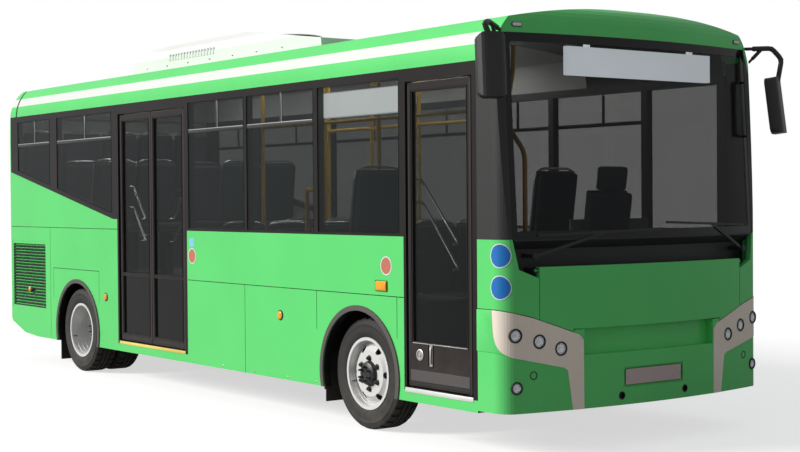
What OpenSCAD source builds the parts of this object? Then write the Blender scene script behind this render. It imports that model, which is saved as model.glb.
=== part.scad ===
// Low-entry city bus, millimetres. X runs forward, Y to the bus's left, Z up.
// The origin lies on the ground, midway along and across the bus.

/* [Body] */
// Length over the front bow and the rear wall
body_l = 8320; // [7600:10:9600]
// Width over the side walls
body_w = 2420; // [2340:10:2550]
// Height of the skirt's lower edge
skirt_z = 275; // [240:5:300]
// Height of the window sill
sill_z = 1405; // [1350:5:1480]
// Height of the dark window band
band_h = 1150; // [1050:5:1250]
// Rise of the roof from the window band to its crown
roof_rise = 375; // [340:5:400]
// Thickness of side walls, roof and rear wall
wall_t = 60; // [50:1:70]
// Radius of the roof cove
cove_r = 380; // [340:10:420]
// Radius of the roof's crown
crown_r = 6000; // [5000:100:7000]
// Radius of the rear corners
rear_corner_r = 115; // [105:5:130]

/* [Front] */
// Plan radius of the bowed front
bow_r = 5320; // [4800:20:6000]
// Plan radius of the front corners
front_corner_r = 130; // [115:5:145]
// Depth of the front mouldings along the side
mask_l = 400; // [360:5:440]
// Thickness of the front mouldings
mask_t = 40; // [35:1:46]
// How far the windscreen's top leans back
lean = 85; // [60:5:110]
// Radius of the roof cap's front edge
cap_r = 150; // [125:5:170]
// Rise of the windscreen over the window band
screen_rise = 170; // [150:5:190]
// Width of the corner posts beside the windscreen
post_w = 70; // [60:1:80]
// Drop from the window sill to the upper edge of the front flap
flap_drop = 183; // [170:1:200]
// Width of the corner panels beside the flap
corner_w = 260; // [230:5:290]
// Height of the front bumper's lower edge
bumper_z0 = 290; // [270:5:310]
// Radius of a head lamp
lamp_r = 47; // [42:1:56]
// Radius of a fog lamp
fog_r = 42; // [38:1:50]

/* [Doors] */
// Width of the front doorway
door_f_w = 722; // [650:2:800]
// From the front doorway to the front mouldings
door_f_post = 48; // [42:1:56]
// Width of the middle doorway
door_m_w = 1280; // [1150:5:1400]
// From the doorways' upper edge to the roof cove's foot
door_head = 90; // [80:1:110]
// From the low floor up to the doorways' lower edge
door_step = 15; // [12:1:18]
// Thickness of a door leaf
leaf_t = 36; // [32:1:40]
// Distance from a door's shaft to the jamb
jamb_gap = 46; // [42:1:52]
// Radius of a door's shaft
shaft_r = 14; // [12:1:16]

/* [Wheels] */
// Outside diameter of a tyre
tyre_d = 810; // [760:5:860]
// Section width of a tyre
tyre_w = 225; // [205:5:245]
// Radius where tyre and rim meet
bead_r = 248; // [235:1:260]
// From the rear axle to the rear wall
rear_overhang = 1760; // [1650:5:1900]
// From the front axle to the front doorway
axle_door = 580; // [570:5:640]
// From the rear axle to the middle doorway
axle_door_m = 930; // [900:5:1050]
// From the side wall's face to the middle of a front tyre
front_inset = 180; // [170:2:200]
// From the side wall's face to the middle of an outer rear tyre
rear_inset = 144; // [134:2:160]
// Gap between twin tyres
twin_gap = 31; // [26:1:36]
// Gap between tyre and wheel arch
arch_gap = 55; // [46:1:64]
// Width of the arch's trim
arch_trim_w = 38; // [32:1:44]

/* [Steering] */
// From the middle of a front tyre to its kingpin
kingpin_in = 170; // [160:2:180]
// Length of the steering arms
steer_arm_l = 200; // [180:5:220]
// Drop from the chassis rails to the tie rod
tie_rod_drop = 53; // [48:1:58]
// Radius of a kingpin
kingpin_r = 20; // [17:1:23]

/* [Cabin] */
// Height of the low floor
floor_z = 360; // [350:2:390]
// Thickness of the low floor
floor_t = 30; // [25:1:34]
// Height of the rear platform over the rear tyres
deck_gap = 140; // [120:5:160]
// Step from the rear platform up to the engine deck
engine_step = 350; // [300:5:400]
// Height of the driver's platform over the floor
cab_step = 240; // [210:5:270]
// Width of a passenger seat
seat_w = 430; // [400:5:450]
// Distance between rows of seats
seat_pitch = 700; // [660:10:760]
// Radius of the hand rails
rail_r = 17; // [15:1:19]

/* [Hidden] */
$fn = 64;
fit = 0.3;
seam_w = 6;
seam_d = 5;
shut = 6;
low_z = 200;
glass_t = 8;

// Places of the shell
hw = body_w / 2;
wall_y = hw - wall_t;
inner_y = wall_y - fit;
front_x = body_l / 2;
rear_x = -front_x;
mask_x = front_x - mask_l;
wall_x0 = rear_x + rear_corner_r;
band_z = sill_z + band_h;
crown_z = band_z + roof_rise;
crown_cz = crown_z - crown_r;
bow_cx = front_x - bow_r;
corner_cy = hw - front_corner_r;
corner_cx = bow_cx + sqrt(pow(bow_r - front_corner_r, 2) - pow(corner_cy, 2)) + 3;
corner_a = asin(corner_cy / (bow_r - front_corner_r));
tangent_y = bow_r * sin(corner_a);
screen_z0 = sill_z - 5;
screen_z1 = band_z + screen_rise;
screen_half = hw - post_w;
flap_z1 = sill_z - flap_drop;
flap_half = hw - corner_w;
lean_z = flap_z1 + 8;
lean_slope = lean / (screen_z1 - lean_z);

// Places of the doors and wheels
hub_z = tyre_d / 2;
arch_r = hub_z + arch_gap;
door_f_x1 = mask_x - door_f_post;
door_f_x0 = door_f_x1 - door_f_w;
front_axle_x = door_f_x0 - axle_door;
rear_axle_x = rear_x + rear_overhang;
door_m_x0 = rear_axle_x + axle_door_m;
door_m_x1 = door_m_x0 + door_m_w;
door_z0 = floor_z + door_step;
door_z1 = band_z - door_head;
front_track_y = hw - front_inset;
rear_track_y = hw - rear_inset;
twin_pitch = tyre_w + twin_gap;
kingpin_y = front_track_y - kingpin_in;

// Places of the floors and of the boxes over the wheels
floor_z0 = floor_z - floor_t;
deck_z = tyre_d + deck_gap;
rear_deck_z = deck_z + engine_step;
deck_t = 30;
cab_z = floor_z + cab_step;
box_half = arch_r + 90;
box_in = 550;
box_z = tyre_d + 145;
box_t = 20;
box_x0 = front_axle_x - box_half;
box_x1 = front_axle_x + box_half;
deck_x1 = door_m_x0 - 30;
riser_x = rear_axle_x - box_half - 150;
rail_z0 = floor_z0 - 105;
rail_y0 = 360;
rail_y1 = 440;
rear_rail_z0 = hub_z + 155;
rear_rail_z1 = rear_rail_z0 + 130;
tie_rod_z = rail_z0 - tie_rod_drop;

// Windows: the two behind the middle door, the two of the middle bay, and the one over the front wheel
window_z1 = band_z - 60;
bay_x0 = door_m_x1 + 74;
bay_x1 = box_x0 - 26;
bay_post = bay_x0 + 0.489 * (bay_x1 - bay_x0);
// Columns: X of the rear edge, X of the front edge
WINDOWS = [[wall_x0 + 195, door_m_x0 - 1560], [door_m_x0 - 1380, door_m_x0 - 140], [bay_x0, bay_post
    - 23.5],
    [bay_post + 23.5, bay_x1], [bay_x1 + 61, door_f_x0 - 77]];
LEFT_WINDOWS = [[door_m_x0 + 30, door_m_x1 + 20], [door_f_x0 - 15, door_f_x1 - 22]];
// The painted wall climbs to the rear from here
diag_x = door_m_x0 - 118;
diag_z = sill_z + 91;
diag_slope = 0.196;
function diag(x) = diag_z + max(0, diag_x - x) * diag_slope;

// Columns: side of the centre line and height of a head lamp
LAMPS = [[hw - 82, bumper_z0 + 499], [hw - 253, bumper_z0 + 455], [hw - 415, bumper_z0 + 402]];
FOG = [hw - 90, bumper_z0 + 164];
// Columns: side of the centre line, height along the seam above the lamps
BEZEL_TOP = [[hw - 555, bumper_z0 + 490], [hw - 210, bumper_z0 + 609], [hw + 55, bumper_z0 + 676],
    [hw + 90, bumper_z0 + 685]];
function bezel_top(y) = lookup(y, BEZEL_TOP);
edge_y = hw + 90;

// Rows of seats: rearmost edge of the cushion in the two low bays
row_x = box_x0 - 850;
right_rows = [for (x = [row_x : -seat_pitch : door_m_x1 + 300]) x];
left_rows = [for (x = [row_x + 90 : -seat_pitch : door_m_x0 + 400]) x];
pair_y = wall_y - 15 - seat_w;
seat_h = 420;
bench_n = floor((2 * wall_y - 20) / (seat_w + 10));
// Columns: X of the seat back, middle Y, floor height, cushion height over the floor, seats abreast
SEATS = concat([for (x = right_rows) [x, -pair_y, floor_z, seat_h, 2]], [for (x = left_rows) [x, pair_y,
    floor_z, seat_h, 2]],
    [for (s = [-1, 1]) [front_axle_x - 210, s * (wall_y - 270), box_z, 250, 1]],
    [for (s = [-1, 1], x = [250, -500]) [rear_axle_x + x, s * pair_y, deck_z, seat_h, 2]],
    [[wall_x0 + 85, 0, rear_deck_z, seat_h, bench_n]]);

// Pull a flat shape drawn in Y and Z along X
module along_x(x0, x1) {
    translate([x0, 0, 0]) rotate([90, 0, 90]) linear_extrude(x1 - x0) children();
}

// Pull a flat shape drawn in X and Z along Y
module along_y(y0, y1) {
    translate([0, y1, 0]) rotate([90, 0, 0]) linear_extrude(y1 - y0) children();
}

// A block between two opposite corners
module block(a, b) {
    translate(a) cube(b - a);
}

// A round bar between two points
module rod(a, b, r) {
    d = b - a;
    translate(a) rotate([0, acos(d[2] / norm(d)), atan2(d[1], d[0])]) cylinder(r = r, h = norm(d));
}

// Draw a piece on the left and its mirror image on the right
module both_sides() {
    children();
    mirror([0, 1, 0]) children();
}

// Outline of a rectangle with rounded corners
function rrect(w, h, r, n = 5) = [for (q = [[1, 1, 0], [-1, 1, 90], [-1, -1, 180], [1, -1, 270]])
    for (i = [0 : n]) [q[0] * (w / 2 - r) + r * cos(q[2] + 90 * i / n),
        q[1] * (h / 2 - r) + r * sin(q[2] + 90 * i / n)]];

// Straight flat bar between two points
module bar2d(p, q, w) {
    d = q - p;
    translate(p) rotate(atan2(d[1], d[0])) translate([0, -w / 2]) square([norm(d), w]);
}

// Roof section in Y and Z, drawn in from the outside by off, its foot lowered by drop
module roof2d(off, drop = 0) {
    intersection() {
        union() {
            translate([-(hw - cove_r), band_z - drop]) square([2 * (hw - cove_r), roof_rise + 225]);
            for (s = [-1, 1]) translate([s * (hw - cove_r), band_z]) circle(r = cove_r - off);
        }
        translate([0, crown_cz]) circle(r = crown_r - off, $fn = 400);
        translate([-2 * hw, band_z - drop]) square([4 * hw, roof_rise + 325]);
    }
}

// Whole body section in Y and Z, drawn in from the outside by off
module section2d(off) {
    roof2d(off);
    translate([-(hw - off), 0]) square([2 * (hw - off), band_z + 1]);
}

// Plan of the front, drawn in from the outside by off
function corner_arc(off, s, n = 9) = [for (i = [0 : n]) let (a = s > 0 ? 90 - i * (90 - corner_a) / n
    : -corner_a - i * (90 - corner_a) / n) [corner_cx + (front_corner_r - off) * cos(a),
    s * corner_cy + (front_corner_r - off) * sin(a)]];
function plan_front(off) = concat([[mask_x - 300 - off, hw - off]], corner_arc(off, 1),
    [[bow_cx + (bow_r - off) / cos(corner_a) + 40, 0]], corner_arc(off, -1), [[mask_x - 300 - off, -(hw
        - off)]]);

// Profile of the front about the bow's axis, drawn in from the outside by off
function front_r(z, off) = bow_r - off - max(0, z - lean_z) * lean_slope;
function cap_arc(off, n = 7) = [for (i = [0 : n]) [front_r(crown_z - cap_r, cap_r)
    + (cap_r - off) * cos(90 * i / n), crown_z - cap_r + (cap_r - off) * sin(90 * i / n)]];
front_depth = mask_l + 60;
function front_profile(off) = concat([[bow_r - front_depth - off, low_z - off], [bow_r - off, low_z - off],
    [bow_r - off, lean_z]], cap_arc(off), [[bow_r - front_depth - off, crown_z - off]]);

// Turn a profile about the upright axis of the front's bow
module bow_turn() {
    translate([bow_cx, 0, 0]) rotate_extrude($fn = 400) children();
}

// Everything inside the front's outer face, drawn in by off
module front_block(off) {
    intersection() {
        translate([0, 0, low_z - 50 - 2 * off]) linear_extrude(crown_z + 200) polygon(plan_front(off));
        bow_turn() polygon(front_profile(off));
    }
}

// Part of the front's skin between two depths, cut out by an outline in Y and Z
module front_skin(a, b) {
    intersection() {
        difference() {
            front_block(a);
            front_block(b);
        }
        along_x(mask_x, front_x + 100) children();
    }
}

// Place and direction of the front's face at a side distance
function surf_x(y) = y < tangent_y ? bow_cx + sqrt(bow_r * bow_r - y * y)
    : corner_cx + sqrt(pow(front_corner_r, 2) - pow(y - corner_cy, 2));
function surf_a(y) = y < tangent_y ? asin(y / bow_r) : asin((y - corner_cy) / front_corner_r);
module on_front(p) {
    translate([surf_x(p[0]), p[0], p[1]]) rotate([0, 0, surf_a(p[0])]) rotate([0, 90, 0]) children();
}

// Outline of the rear in X and Z, drawn in from the outside by off
rear_z0 = skirt_z + 147;
function rear_profile(off) = [[wall_x0 + 1045, rear_z0], [rear_x + 55 + off, rear_z0], [rear_x + off,
    rear_z0 + 298],
    [rear_x + off, sill_z + 155], [rear_x + 110 + off, band_z], [rear_x + 140 + off, crown_z - 190
        - off / 2],
    [rear_x + 190 + off, crown_z - 85 - off * 0.8], [rear_x + 290 + off, crown_z - off], [wall_x0 + 1045,
        crown_z - off]];

// Everything inside the rear's outer face, drawn in by off
module rear_block(off) {
    r = rear_corner_r - off;
    x1 = wall_x0 + 145;
    intersection() {
        along_y(-hw, hw) polygon(rear_profile(off));
        along_x(rear_x - 50, x1) section2d(off);
        linear_extrude(crown_z + 50) polygon(concat([[x1, hw - off]],
            [for (i = [0 : 6]) [wall_x0 - r * sin(15 * i), hw - rear_corner_r + r * cos(15 * i)]],
            [for (i = [0 : 6]) [wall_x0 - r * cos(15 * i), -(hw - rear_corner_r) - r * sin(15 * i)]],
            [[x1, -(hw - off)]]));
    }
}

// Part of the rear's skin between two depths, cut out by an outline in Y and Z
module rear_skin(a, b) {
    intersection() {
        difference() {
            rear_block(a);
            rear_block(b);
        }
        along_x(rear_x - 50, wall_x0) children();
    }
}

// Shell of a front wheel's box over the floor
module wheel_box() {
    y0 = wall_y - box_in;
    difference() {
        block([box_x0, y0, floor_z0], [box_x1, inner_y, box_z]);
        block([box_x0 + box_t, y0 + box_t, 0], [box_x1 - box_t, hw, box_z - box_t]);
    }
}

// Shell of a rear twin wheel's box under the platform, open at the axle
module rear_wheel_box() {
    y0 = wall_y - 510;
    difference() {
        block([rear_axle_x - box_half, y0, floor_z0], [rear_axle_x + box_half, inner_y, deck_z - 10]);
        block([rear_axle_x - box_half + box_t, y0 + box_t, 0], [rear_axle_x + box_half - box_t, hw, deck_z
            - deck_t]);
        block([rear_axle_x - 140, y0 - 40, 0], [rear_axle_x + 140, y0 + 60, hub_z + 215]);
    }
}

step_l = 250;
step_half = 350;
module floor_deck() {
    nose_x = front_x - 230;
    nose_y = hw - 150;
    foot_x = mask_x - 5;
    color("#5b5f63") {
        difference() {
            translate([0, 0, floor_z0]) linear_extrude(floor_t) polygon([[deck_x1, -inner_y], [foot_x,
                -inner_y],
                [nose_x, -nose_y], [nose_x, nose_y], [foot_x, inner_y], [deck_x1, inner_y]]);
            both_sides() block([box_x0, wall_y - box_in, 0], [box_x1, hw, floor_z + 140]);
        }
        both_sides() {
            wheel_box();
            rear_wheel_box();
        }
        block([deck_x1 - deck_t, -inner_y, floor_z0], [deck_x1, inner_y, deck_z]);
        block([riser_x, -inner_y, deck_z - deck_t], [deck_x1, inner_y, deck_z]);
        block([riser_x, -inner_y, deck_z - deck_t], [riser_x + deck_t, inner_y, rear_deck_z]);
        block([wall_x0 + 5, -inner_y, rear_deck_z - deck_t], [riser_x + deck_t, inner_y, rear_deck_z]);
        for (i = [0, 1]) block([deck_x1 + step_l * i, -step_half, floor_z],
            [deck_x1 + step_l * (i + 1), step_half, floor_z + (deck_z - floor_z) * (2 - i) / 3]);
        block([box_x1 + 5, wall_y - 820, floor_z], [mask_x - 160, inner_y, cab_z]);
    }
}

module chassis_frame() {
    knee_x = deck_x1 - 110;
    engine_beams = [rear_x + 260, riser_x - 150];
    color("#2b2d30") {
        both_sides() {
            block([knee_x, rail_y0, rail_z0], [mask_x - 60, rail_y1, floor_z0]);
            block([rear_x + 80, rail_y0, rear_rail_z0], [deck_x1 - 32, rail_y1, rear_rail_z1]);
            block([knee_x, rail_y0, rail_z0], [deck_x1 - 32, rail_y1, rear_rail_z1]);
            for (x = [knee_x, riser_x + 40]) block([x, rail_y0, rear_rail_z0 + 40], [x + 70, rail_y1,
                deck_z - deck_t]);
            for (x = engine_beams) block([x, rail_y0, rear_rail_z0 - 170], [x + 60, rail_y1, rear_rail_z0
                + 40]);
            for (x = [door_m_x0 + 170, door_m_x0 + 770, door_m_x1 + 290, door_m_x1 + 890, front_axle_x
                - 1010,
                front_axle_x + 740]) block([x, rail_y0 + 40, floor_z0 - 60], [x + 50, inner_y, floor_z0]);
            for (x = [wall_x0 + 65, riser_x + 20]) block([x, rail_y0 + 40, rear_rail_z0 + 40],
                [x + 50, inner_y, rear_rail_z0 + 100]);
        }
        for (x = engine_beams) block([x, -rail_y1, rear_rail_z0 - 170], [x + 60, rail_y1, rear_rail_z0
            - 110]);
        for (x = [knee_x + 10, door_m_x1 - 10, front_axle_x - 1510, front_axle_x - 710, front_axle_x + 890])
            block([x, -rail_y0 - 20, rail_z0 + 15], [x + 60, rail_y0 + 20, rail_z0 + 75]);
    }
}

// Outline of the doorway surrounds of the right side
door_sill = 20;
door_frame = 30;
module door_zones() {
    translate([door_f_x0 - 28, door_z0 - door_sill]) square([mask_x - door_f_x0 + 28, crown_z]);
    translate([door_m_x0 - door_frame, door_z0 - door_frame]) square([door_m_w + door_frame + 40, crown_z]);
}

// Grille beside the engine, in X and Z
grille_x0 = wall_x0 + 15;
grille_z0 = skirt_z + 276;
grille_w = 890;
grille_h = 701;
grille_edge = 25;
slat_pitch = 31;

// Outline of the painted lower wall
module lower2d() {
    difference() {
        polygon([[wall_x0, skirt_z + 127], [wall_x0 + 338, skirt_z + 24], [wall_x0 + 666, skirt_z],
            [mask_x, skirt_z],
            [mask_x, sill_z], [diag_x + 88, sill_z], [diag_x + 88, diag_z], [diag_x, diag_z], [wall_x0,
                diag(wall_x0)]]);
        for (x = [front_axle_x, rear_axle_x]) translate([x, hub_z]) circle(r = arch_r);
        translate([grille_x0, grille_z0]) square([grille_w, grille_h]);
    }
}

// Columns: X and Z of both ends of a seam between two panels
waist_z = sill_z - 420;
rear_waist_z = sill_z - 3;
hatch_z = hub_z + 592;
SEAMS = [[bay_post - 24.5, skirt_z, bay_post - 24.5, waist_z], [bay_x1 + 31, hub_z + 295, bay_x1 + 31,
    waist_z],
    [door_f_x0 - 110, hub_z + 295, door_f_x0 - 110, waist_z], [door_m_x1 + 50, waist_z, door_f_x0 - 30,
        waist_z],
    [grille_x0 + 990, skirt_z + 24, grille_x0 + 990, rear_waist_z], [wall_x0, rear_waist_z, deck_x1,
        rear_waist_z],
    [rear_axle_x + 494, hub_z + 295, rear_axle_x + 494, hatch_z], [rear_axle_x - 563, hub_z + 295,
        rear_axle_x - 563, hatch_z],
    [rear_axle_x - 563, hatch_z, rear_axle_x + 494, hatch_z]];
module side_seams() {
    for (s = SEAMS) block([min(s[0], s[2]) - seam_w / 2, hw - seam_d, min(s[1], s[3]) - seam_w / 2],
        [max(s[0], s[2]) + seam_w / 2, hw + 5, max(s[1], s[3]) + seam_w / 2]);
}

module lower_sides() {
    color("#2f9e3a") {
        difference() {
            along_y(-hw, -wall_y) difference() {
                lower2d();
                door_zones();
            }
            mirror([0, 1, 0]) side_seams();
        }
        difference() {
            along_y(wall_y, hw) lower2d();
            side_seams();
        }
    }
}

// Outline of the dark window band above the painted wall
module band2d(extra) {
    difference() {
        polygon([[wall_x0, diag(wall_x0)], [diag_x, diag_z], [diag_x + 88, diag_z], [diag_x + 88, sill_z],
            [mask_x, sill_z], [mask_x, band_z], [wall_x0, band_z]]);
        windows2d(extra, 0);
    }
}

// Window openings of one side, drawn in by off
module windows2d(extra, off) {
    for (w = concat(WINDOWS, extra)) {
        z0 = w[1] < diag_x ? diag_z + 50 : sill_z + 20;
        polygon([[w[0] + off, diag(w[0]) + z0 - diag_z + off], [w[1] - off, diag(w[1]) + z0 - diag_z + off],
            [w[1] - off, window_z1 - off], [w[0] + off, window_z1 - off]]);
    }
}

// Upright bores for a door's shaft
module shaft_bore(x) {
    for (z = [door_z0 - 14, door_z1 - 1]) translate([x, -leaf_y, z]) cylinder(r = shaft_r + fit, h = 20);
}

leaf_y = hw - wall_t / 2;
door_f_hx = door_f_x1 - jamb_gap;
door_m_hx1 = door_m_x1 - jamb_gap;
door_m_hx0 = door_m_x0 + jamb_gap;

module window_frames() {
    color("#1b1d1f") {
        difference() {
            along_y(-hw, -wall_y) difference() {
                union() {
                    band2d([]);
                    intersection() {
                        door_zones();
                        translate([wall_x0, 0]) square([mask_x - wall_x0, band_z]);
                    }
                }
                translate([door_f_x0, door_z0]) square([door_f_w, door_z1 - door_z0]);
                translate([door_m_x0, door_z0]) square([door_m_w, door_z1 - door_z0]);
            }
            for (x = [door_f_hx, door_m_hx0, door_m_hx1]) shaft_bore(x);
        }
        along_y(wall_y, hw) band2d(LEFT_WINDOWS);
    }
}

rear_end_x = rear_x + 300;
module roof_shell() {
    color("#2f9e3a") along_x(rear_end_x, mask_x) difference() {
        roof2d(0);
        roof2d(wall_t);
    }
}

// Outline of the rear window and of the engine door, grown by g
module rear_window2d(g) {
    translate([0, sill_z + 705]) square([body_w - 720 + 2 * g, band_h - 510 + 2 * g], center = true);
}
engine_door_z0 = skirt_z + 225;
engine_door_z1 = sill_z - 155;
engine_door_half = hw - 430;
engine_pin_x = rear_x + 20;
engine_pin_z = engine_door_z1 - 22;
pin_r = 8;
tail_y = hw - 210;
tail_r = 55;
tail_pitch = 130;
// Heights of the rear lamps
TAIL_Z = [for (i = [0 : 3]) engine_door_z1 - 30 - tail_pitch * i];

module rear_wall() {
    color("#2f9e3a") difference() {
        union() {
            rear_skin(0, wall_t) translate([-2 * hw, 0]) square([4 * hw, crown_z + 100]);
            intersection() {
                difference() {
                    rear_block(0);
                    rear_block(wall_t);
                }
                block([wall_x0 - 1, -hw, band_z], [rear_end_x, hw, crown_z + 50]);
            }
        }
        along_x(rear_x - 50, wall_x0) rear_window2d(fit);
        along_x(rear_x - 50, wall_x0) translate([-engine_door_half - shut, engine_door_z0 - shut])
            square([2 * (engine_door_half + shut), engine_pin_z + 36 - engine_door_z0 + shut]);
        rod([engine_pin_x, -engine_door_half - 30, engine_pin_z], [engine_pin_x, engine_door_half + 30,
            engine_pin_z],
            pin_r + fit);
        both_sides() for (z = TAIL_Z) rod([rear_x - 20, tail_y, z], [rear_x + 20, tail_y, z], tail_r + fit);
    }
}

module engine_door() {
    slot_half = engine_door_half - 280;
    color("#2f9e3a") {
        difference() {
            rear_skin(0, mask_t) translate([-engine_door_half, engine_door_z0])
                square([2 * engine_door_half, engine_door_z1 - engine_door_z0]);
            for (z = [engine_door_z0 + 140 : 60 : engine_door_z1 - 190])
                block([rear_x - 20, -slot_half, z], [rear_x + 12, slot_half, z + 30]);
        }
        both_sides() rod([engine_pin_x, engine_door_half - 20, engine_pin_z],
            [engine_pin_x, engine_door_half + 29, engine_pin_z], pin_r);
    }
}

// Outline of the roof cap in Y and Z
module cap2d() {
    top = crown_z + 170;
    polygon([[-edge_y, top], [-edge_y, band_z], [-hw + 10, band_z], [-screen_half, screen_z1 + 0.5],
        [screen_half, screen_z1 + 0.5], [hw - 10, band_z], [edge_y, band_z], [edge_y, top]]);
}

cap_in = 0.5;
module front_cap() {
    color("#2f9e3a") intersection() {
        difference() {
            intersection() {
                front_block(0);
                along_x(mask_x, front_x + 50) roof2d(cap_in);
            }
            intersection() {
                front_block(mask_t);
                along_x(mask_x - 50, front_x + 60) roof2d(mask_t + cap_in, 20);
            }
        }
        along_x(mask_x - 10, front_x + 80) cap2d();
    }
}

// The dark scuttle under the windscreen, set back behind the flap so that the flap can swing up
scuttle_d = 115;
scuttle_t = 25;
notch_y = screen_half - 39;
notch_z = flap_z1 - 14;
flap_pin_x = surf_x(flap_half) - 20;
flap_pin_z = flap_z1 - 22;
module scuttle2d() {
    polygon([[bow_r - scuttle_d - scuttle_t, flap_z1 - 82], [bow_r - scuttle_d, flap_z1 - 82], [bow_r
        - scuttle_d, sill_z - 70],
        [bow_r - 14, sill_z - 15], [bow_r - 14, screen_z0 - 0.5], [bow_r - 40, screen_z0 - 0.5],
        [bow_r - scuttle_d - scuttle_t, sill_z - 60]]);
}
module front_trim() {
    color("#17181a") {
        both_sides() front_skin(0, mask_t) polygon([[screen_half + 0.5, screen_z0 + 0.5], [screen_half
            + 0.5, screen_z1 - 2],
            [hw - 11, band_z - 0.7], [edge_y, band_z - 0.7], [edge_y, screen_z0 + 0.5]]);
        difference() {
            union() {
                intersection() {
                    bow_turn() scuttle2d();
                    union() {
                        front_block(mask_t + fit);
                        along_x(mask_x, front_x) polygon([[-screen_half + 4, sill_z + 95], [-notch_y + 2,
                            notch_z],
                            [notch_y - 2, notch_z], [screen_half - 4, sill_z + 95]]);
                    }
                }
                both_sides() intersection() {
                    block([flap_pin_x - 110, flap_half + shut, flap_pin_z - 20],
                        [flap_pin_x + 14, flap_half + shut + 20, flap_pin_z + 16]);
                    bow_turn() translate([bow_r - 130, flap_z1 - 222]) square([120, 400]);
                }
            }
            rod([flap_pin_x, -flap_half - 40, flap_pin_z], [flap_pin_x, flap_half + 40, flap_pin_z], pin_r
                + fit);
        }
    }
}

// Outline of a corner panel on the left
seam_half = seam_w / 2;
corner_y = flap_half + shut;
module corner2d() {
    polygon(concat([[edge_y, screen_z0 - 0.5], [screen_half - 2, screen_z0 - 0.5], [notch_y, notch_z],
        [corner_y, flap_z1 - 72], [corner_y, bezel_top(corner_y) + seam_half]],
        [for (p = BEZEL_TOP) if (p[0] > corner_y) p + [0, seam_half]]));
}

module corner_panels() {
    color("#2f9e3a") both_sides() front_skin(0, mask_t) corner2d();
}

// Upper edge of the bumper under the flap
ledge_z = bumper_z0 + 519;
ledge_half = hw - 520;
module front_flap() {
    y0 = ledge_half + shut;
    color("#2f9e3a") {
        front_skin(0, mask_t - 4) polygon([[-flap_half, flap_z1], [-flap_half, bezel_top(flap_half)
            + seam_half],
            [-y0, bezel_top(y0) + seam_half], [-y0, ledge_z + shut], [y0, ledge_z + shut],
            [y0, bezel_top(y0) + seam_half], [flap_half, bezel_top(flap_half) + seam_half], [flap_half,
                flap_z1]]);
        both_sides() rod([flap_pin_x, flap_half - 15, flap_pin_z], [flap_pin_x, flap_half + 25.5,
            flap_pin_z], pin_r);
    }
}

// Outline of a lamp bezel on the left, grown by g: a band under the seam and a leg down to the bumper's edge
// Columns: distance in from the side wall's face, height over the bumper's lower edge
BEZEL_LOW = [[590, 450], [593, -1], [505, -1], [465, 260], [435, 278], [60, 360], [-20, 400], [-90, 430]];
function bezel_side(p, g) = p[1] <= 260 || p[0] == 590 ? [p[0] > 550 ? -g : g, 0] : [0, -g];
module bezel2d(g) {
    polygon(concat([for (p = BEZEL_LOW) [hw - p[0], bumper_z0 + p[1]] + bezel_side(p, g)],
        [for (i = [3 : -1 : 0]) BEZEL_TOP[i] + [i > 0 ? 0 : -g, g - seam_half]]));
}

plate_half = 280;
plate_h = 135;
plate_z = bumper_z0 + 182;
plate_screw = 260;
plate_screw_r = 3.5;
tow_y = 300;
tow_z = bumper_z0 + 63;
tow_r = 25;
tow_x = front_x - 110;
recess_half = hw - 598;
recess_z = bumper_z0 + 350;
lamp_seat = 90;
bezel_t = 20;
module lamp_bore(p, r) {
    on_front(p) translate([0, 0, -lamp_seat]) cylinder(r = r + fit, h = lamp_seat + 60);
}
module bumper_front() {
    low = [for (p = BEZEL_TOP) if (p[0] > ledge_half) p - [0, seam_half]];
    top = concat([[ledge_half, ledge_z], [ledge_half, bezel_top(ledge_half) - seam_half]], low);
    color("#2f9e3a") difference() {
        union() {
            front_skin(0, mask_t) polygon(concat([[-edge_y, bumper_z0], [edge_y, bumper_z0]],
                [for (i = [len(top) - 1 : -1 : 0]) top[i]], [for (p = top) [-p[0], p[1]]]));
            front_skin(mask_t - 5, 100) translate([-recess_half - 33, recess_z - 40])
                square([2 * recess_half + 66, ledge_z - recess_z + 40]);
            intersection() {
                both_sides() rod([tow_x - 20, tow_y, tow_z], [front_x + 50, tow_y, tow_z], tow_r + 15);
                front_block(2);
            }
        }
        front_skin(-10, 60) translate([-recess_half, recess_z]) square([2 * recess_half, ledge_z
            - recess_z + 31]);
        both_sides() {
            front_skin(-10, bezel_t) bezel2d(fit);
            for (p = LAMPS) lamp_bore(p, lamp_r);
            lamp_bore(FOG, fog_r);
            rod([tow_x, tow_y, tow_z], [front_x + 50, tow_y, tow_z], tow_r);
            rod([tow_x, plate_screw, plate_z], [front_x + 50, plate_screw, plate_z], plate_screw_r);
        }
        block([front_x - 15, -plate_half, plate_z - plate_h / 2], [front_x + 50, plate_half, plate_z
            + plate_h / 2]);
    }
}

module lamp_bezels() {
    color("#b9b8ae") both_sides() difference() {
        front_skin(-3, bezel_t - fit) intersection() {
            bezel2d(0);
            translate([0, bumper_z0]) square([2 * hw, sill_z]);
        }
        for (p = LAMPS) lamp_bore(p, lamp_r);
    }
}

// A round lamp with a raised rim and a domed lens
module round_lamp(r) {
    rotate_extrude() polygon([[0, -lamp_seat / 2], [r, -lamp_seat / 2], [r, 3], [r - 7, 5], [r - 11, -4],
        [r * 0.5, 1], [0, 3]]);
}

module head_lamps() {
    color("#dfe6ea") both_sides() {
        for (p = LAMPS) on_front(p) round_lamp(lamp_r);
        on_front(FOG) round_lamp(fog_r);
    }
}

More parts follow.
